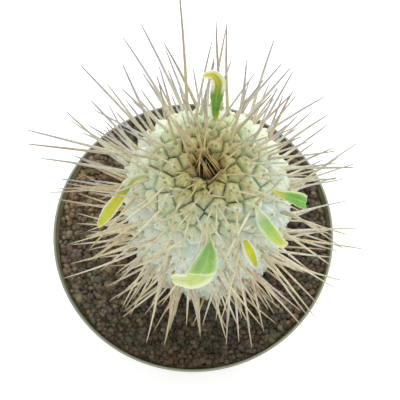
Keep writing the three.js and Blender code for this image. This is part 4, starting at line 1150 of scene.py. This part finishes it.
def spine_finish():
    """Dry horn: cream and straw, a few orange-brown, golden in the crown, with brown points. Weather greys
    the outer halves of the spines on the back."""
    horn = Finish("spine_horn", Roughness=0.5, Specular_IOR_Level=0.45)
    along, down, tint, weather = (horn.own(name) for name in ("along", "down", "tint", "weather"))
    colour = horn.ramp(tint, *HORN_COLOURS)
    colour = horn.mixed(horn.ramp(down, (0.1, 0.75), (0.34, 0.4), (0.56, 0)), colour, (198, 198, 152))
    rusty = horn.times(horn.ramp(along, (0.15, 0.6), (0.6, 0)), horn.ramp(tint, (0.7, 0), (0.84, 1)))
    rusty = horn.times(rusty, horn.ramp(down, (0.5, 0), (0.66, 1)))
    colour = horn.mixed(rusty, colour, (190, 138, 80))
    young = horn.ramp(down, (0, 0.95), (0.06, 0.7), (0.18, 0.08))
    colour = horn.mixed(young, colour, horn.ramp(along, *YOUNG_HORN_COLOURS))
    outer = horn.times(horn.ramp(along, (0.16, 0.1), (0.6, 0.94)), weather)
    colour = horn.mixed(outer, colour, horn.ramp(tint, *WEATHERED_HORN_COLOURS))
    tip = horn.mixed(weather, (166, 148, 114), (130, 123, 122))
    colour = horn.mixed(horn.ramp(along, (0.55, 0), (0.97, 0.8)), colour, tip)
    colour = horn.tinted(colour, horn.ramp(horn.noise(900, 3), (0.35, 0.84), (0.65, 1.08)))
    return horn.finished(colour, horn.noise(1600, 2), 0.0001)


check_t = np.linspace(0, 1, 11)
check_across = np.linspace(-1, 1, 5)[None, :]
surfaces = [leaf_middle(leaf, check_t, check_across) for leaf in LEAVES]
leaf_points = np.concatenate([surface.reshape(-1, 3) for surface in surfaces])
half_widths = [np.linalg.norm(surface[:, 0] - surface[:, -1], axis=1) / 2 for surface in surfaces]
leaf_clearance = 1.2 + 0.36 * np.repeat(np.concatenate(half_widths), check_across.size)
uncrossed = np.repeat([leaf in UNCROSSED_LEAVES for leaf in LEAVES], check_t.size * check_across.size)
leaf_lean = np.where(uncrossed, VIEW_LEAN, 0)
leaf_height_share = np.where(uncrossed, UNCROSSED_HEIGHT_SHARE, HEIGHT_SHARE)
horn = spine_finish()
build_spines("stem_spines", paired_spines(), ((4, 14, 32), (0.55, 0.82, 1)), horn, seed=21)
build_spines("stem_single_spines", single_spines(), ((6, 16), (0.65, 0.85)), horn, seed=22)
build_spines("crown_spines", crown_tuft(), ((0,), (0.5,)), horn, seed=23)

# The studio. A plain white floor, even white light from all round, and a large soft lamp at the upper
# right. The camera looks steeply down on the plant from the front, as in the photograph.

CAMERA_RISE = np.radians(73.3)
CAMERA_DISTANCE = 0.5
CAMERA_AIM = Vector((0.00316, 0.01328, 0.09605))
CAMERA_FOCAL_PIXELS = 1168
IMAGE_PIXELS = 400
SENSOR_WIDTH = 36.0
FLOOR_REACH = 3
LAMP_AIM = Vector((0, 0, 0.1))


def floor_finish():
    """Matt white sheet with the faintest mottling, which glows a little."""
    sheet = Finish("studio_floor", Roughness=0.95, Specular_IOR_Level=0.1, Emission_Strength=0.36,
                   Emission_Color=(1, 1, 1, 1))
    return sheet.finished(sheet.ramp(sheet.noise(6), (0, 0.93), (1, 0.95)))


floor_mesh = bpy.data.meshes.new("studio_floor")
corners = [(x * FLOOR_REACH, y * FLOOR_REACH, 0) for x, y in ((-1, -1), (1, -1), (1, 1), (-1, 1))]
floor_mesh.from_pydata(corners, [], [(0, 1, 2, 3)])
floor_mesh.materials.append(floor_finish())
floor = bpy.data.objects.new("studio_floor", floor_mesh)
bpy.context.scene.collection.objects.link(floor)

world = bpy.data.worlds.new("studio_air")
world.use_nodes = True
world.node_tree.nodes["Background"].inputs["Color"].default_value = (1.0, 1.0, 1.0, 1.0)
world.node_tree.nodes["Background"].inputs["Strength"].default_value = 1.0
bpy.context.scene.world = world

lamp = bpy.data.lights.new("soft_lamp", "AREA")
lamp.shape = "DISK"
lamp.size = 0.7
lamp.energy = 4.6
lamp_object = bpy.data.objects.new("soft_lamp", lamp)
lamp_object.location = (0.3, 0.6, 1.05)
lamp_object.rotation_euler = (LAMP_AIM - lamp_object.location).to_track_quat("-Z", "Y").to_euler()
bpy.context.scene.collection.objects.link(lamp_object)

rim_centre = Vector((0, 0, POT_HEIGHT * MM))
camera_data = bpy.data.cameras.new("camera")
camera_data.sensor_width = SENSOR_WIDTH
camera_data.lens = SENSOR_WIDTH * CAMERA_FOCAL_PIXELS / IMAGE_PIXELS
camera_data.clip_start = 0.01
camera = bpy.data.objects.new("camera", camera_data)
back = Vector((0, -np.cos(CAMERA_RISE), np.sin(CAMERA_RISE)))
camera.location = rim_centre + CAMERA_DISTANCE * back
camera.rotation_euler = (CAMERA_AIM - camera.location).to_track_quat("-Z", "Y").to_euler()
bpy.context.scene.collection.objects.link(camera)
bpy.context.scene.camera = camera
bpy.context.scene.view_settings.view_transform = "Standard"
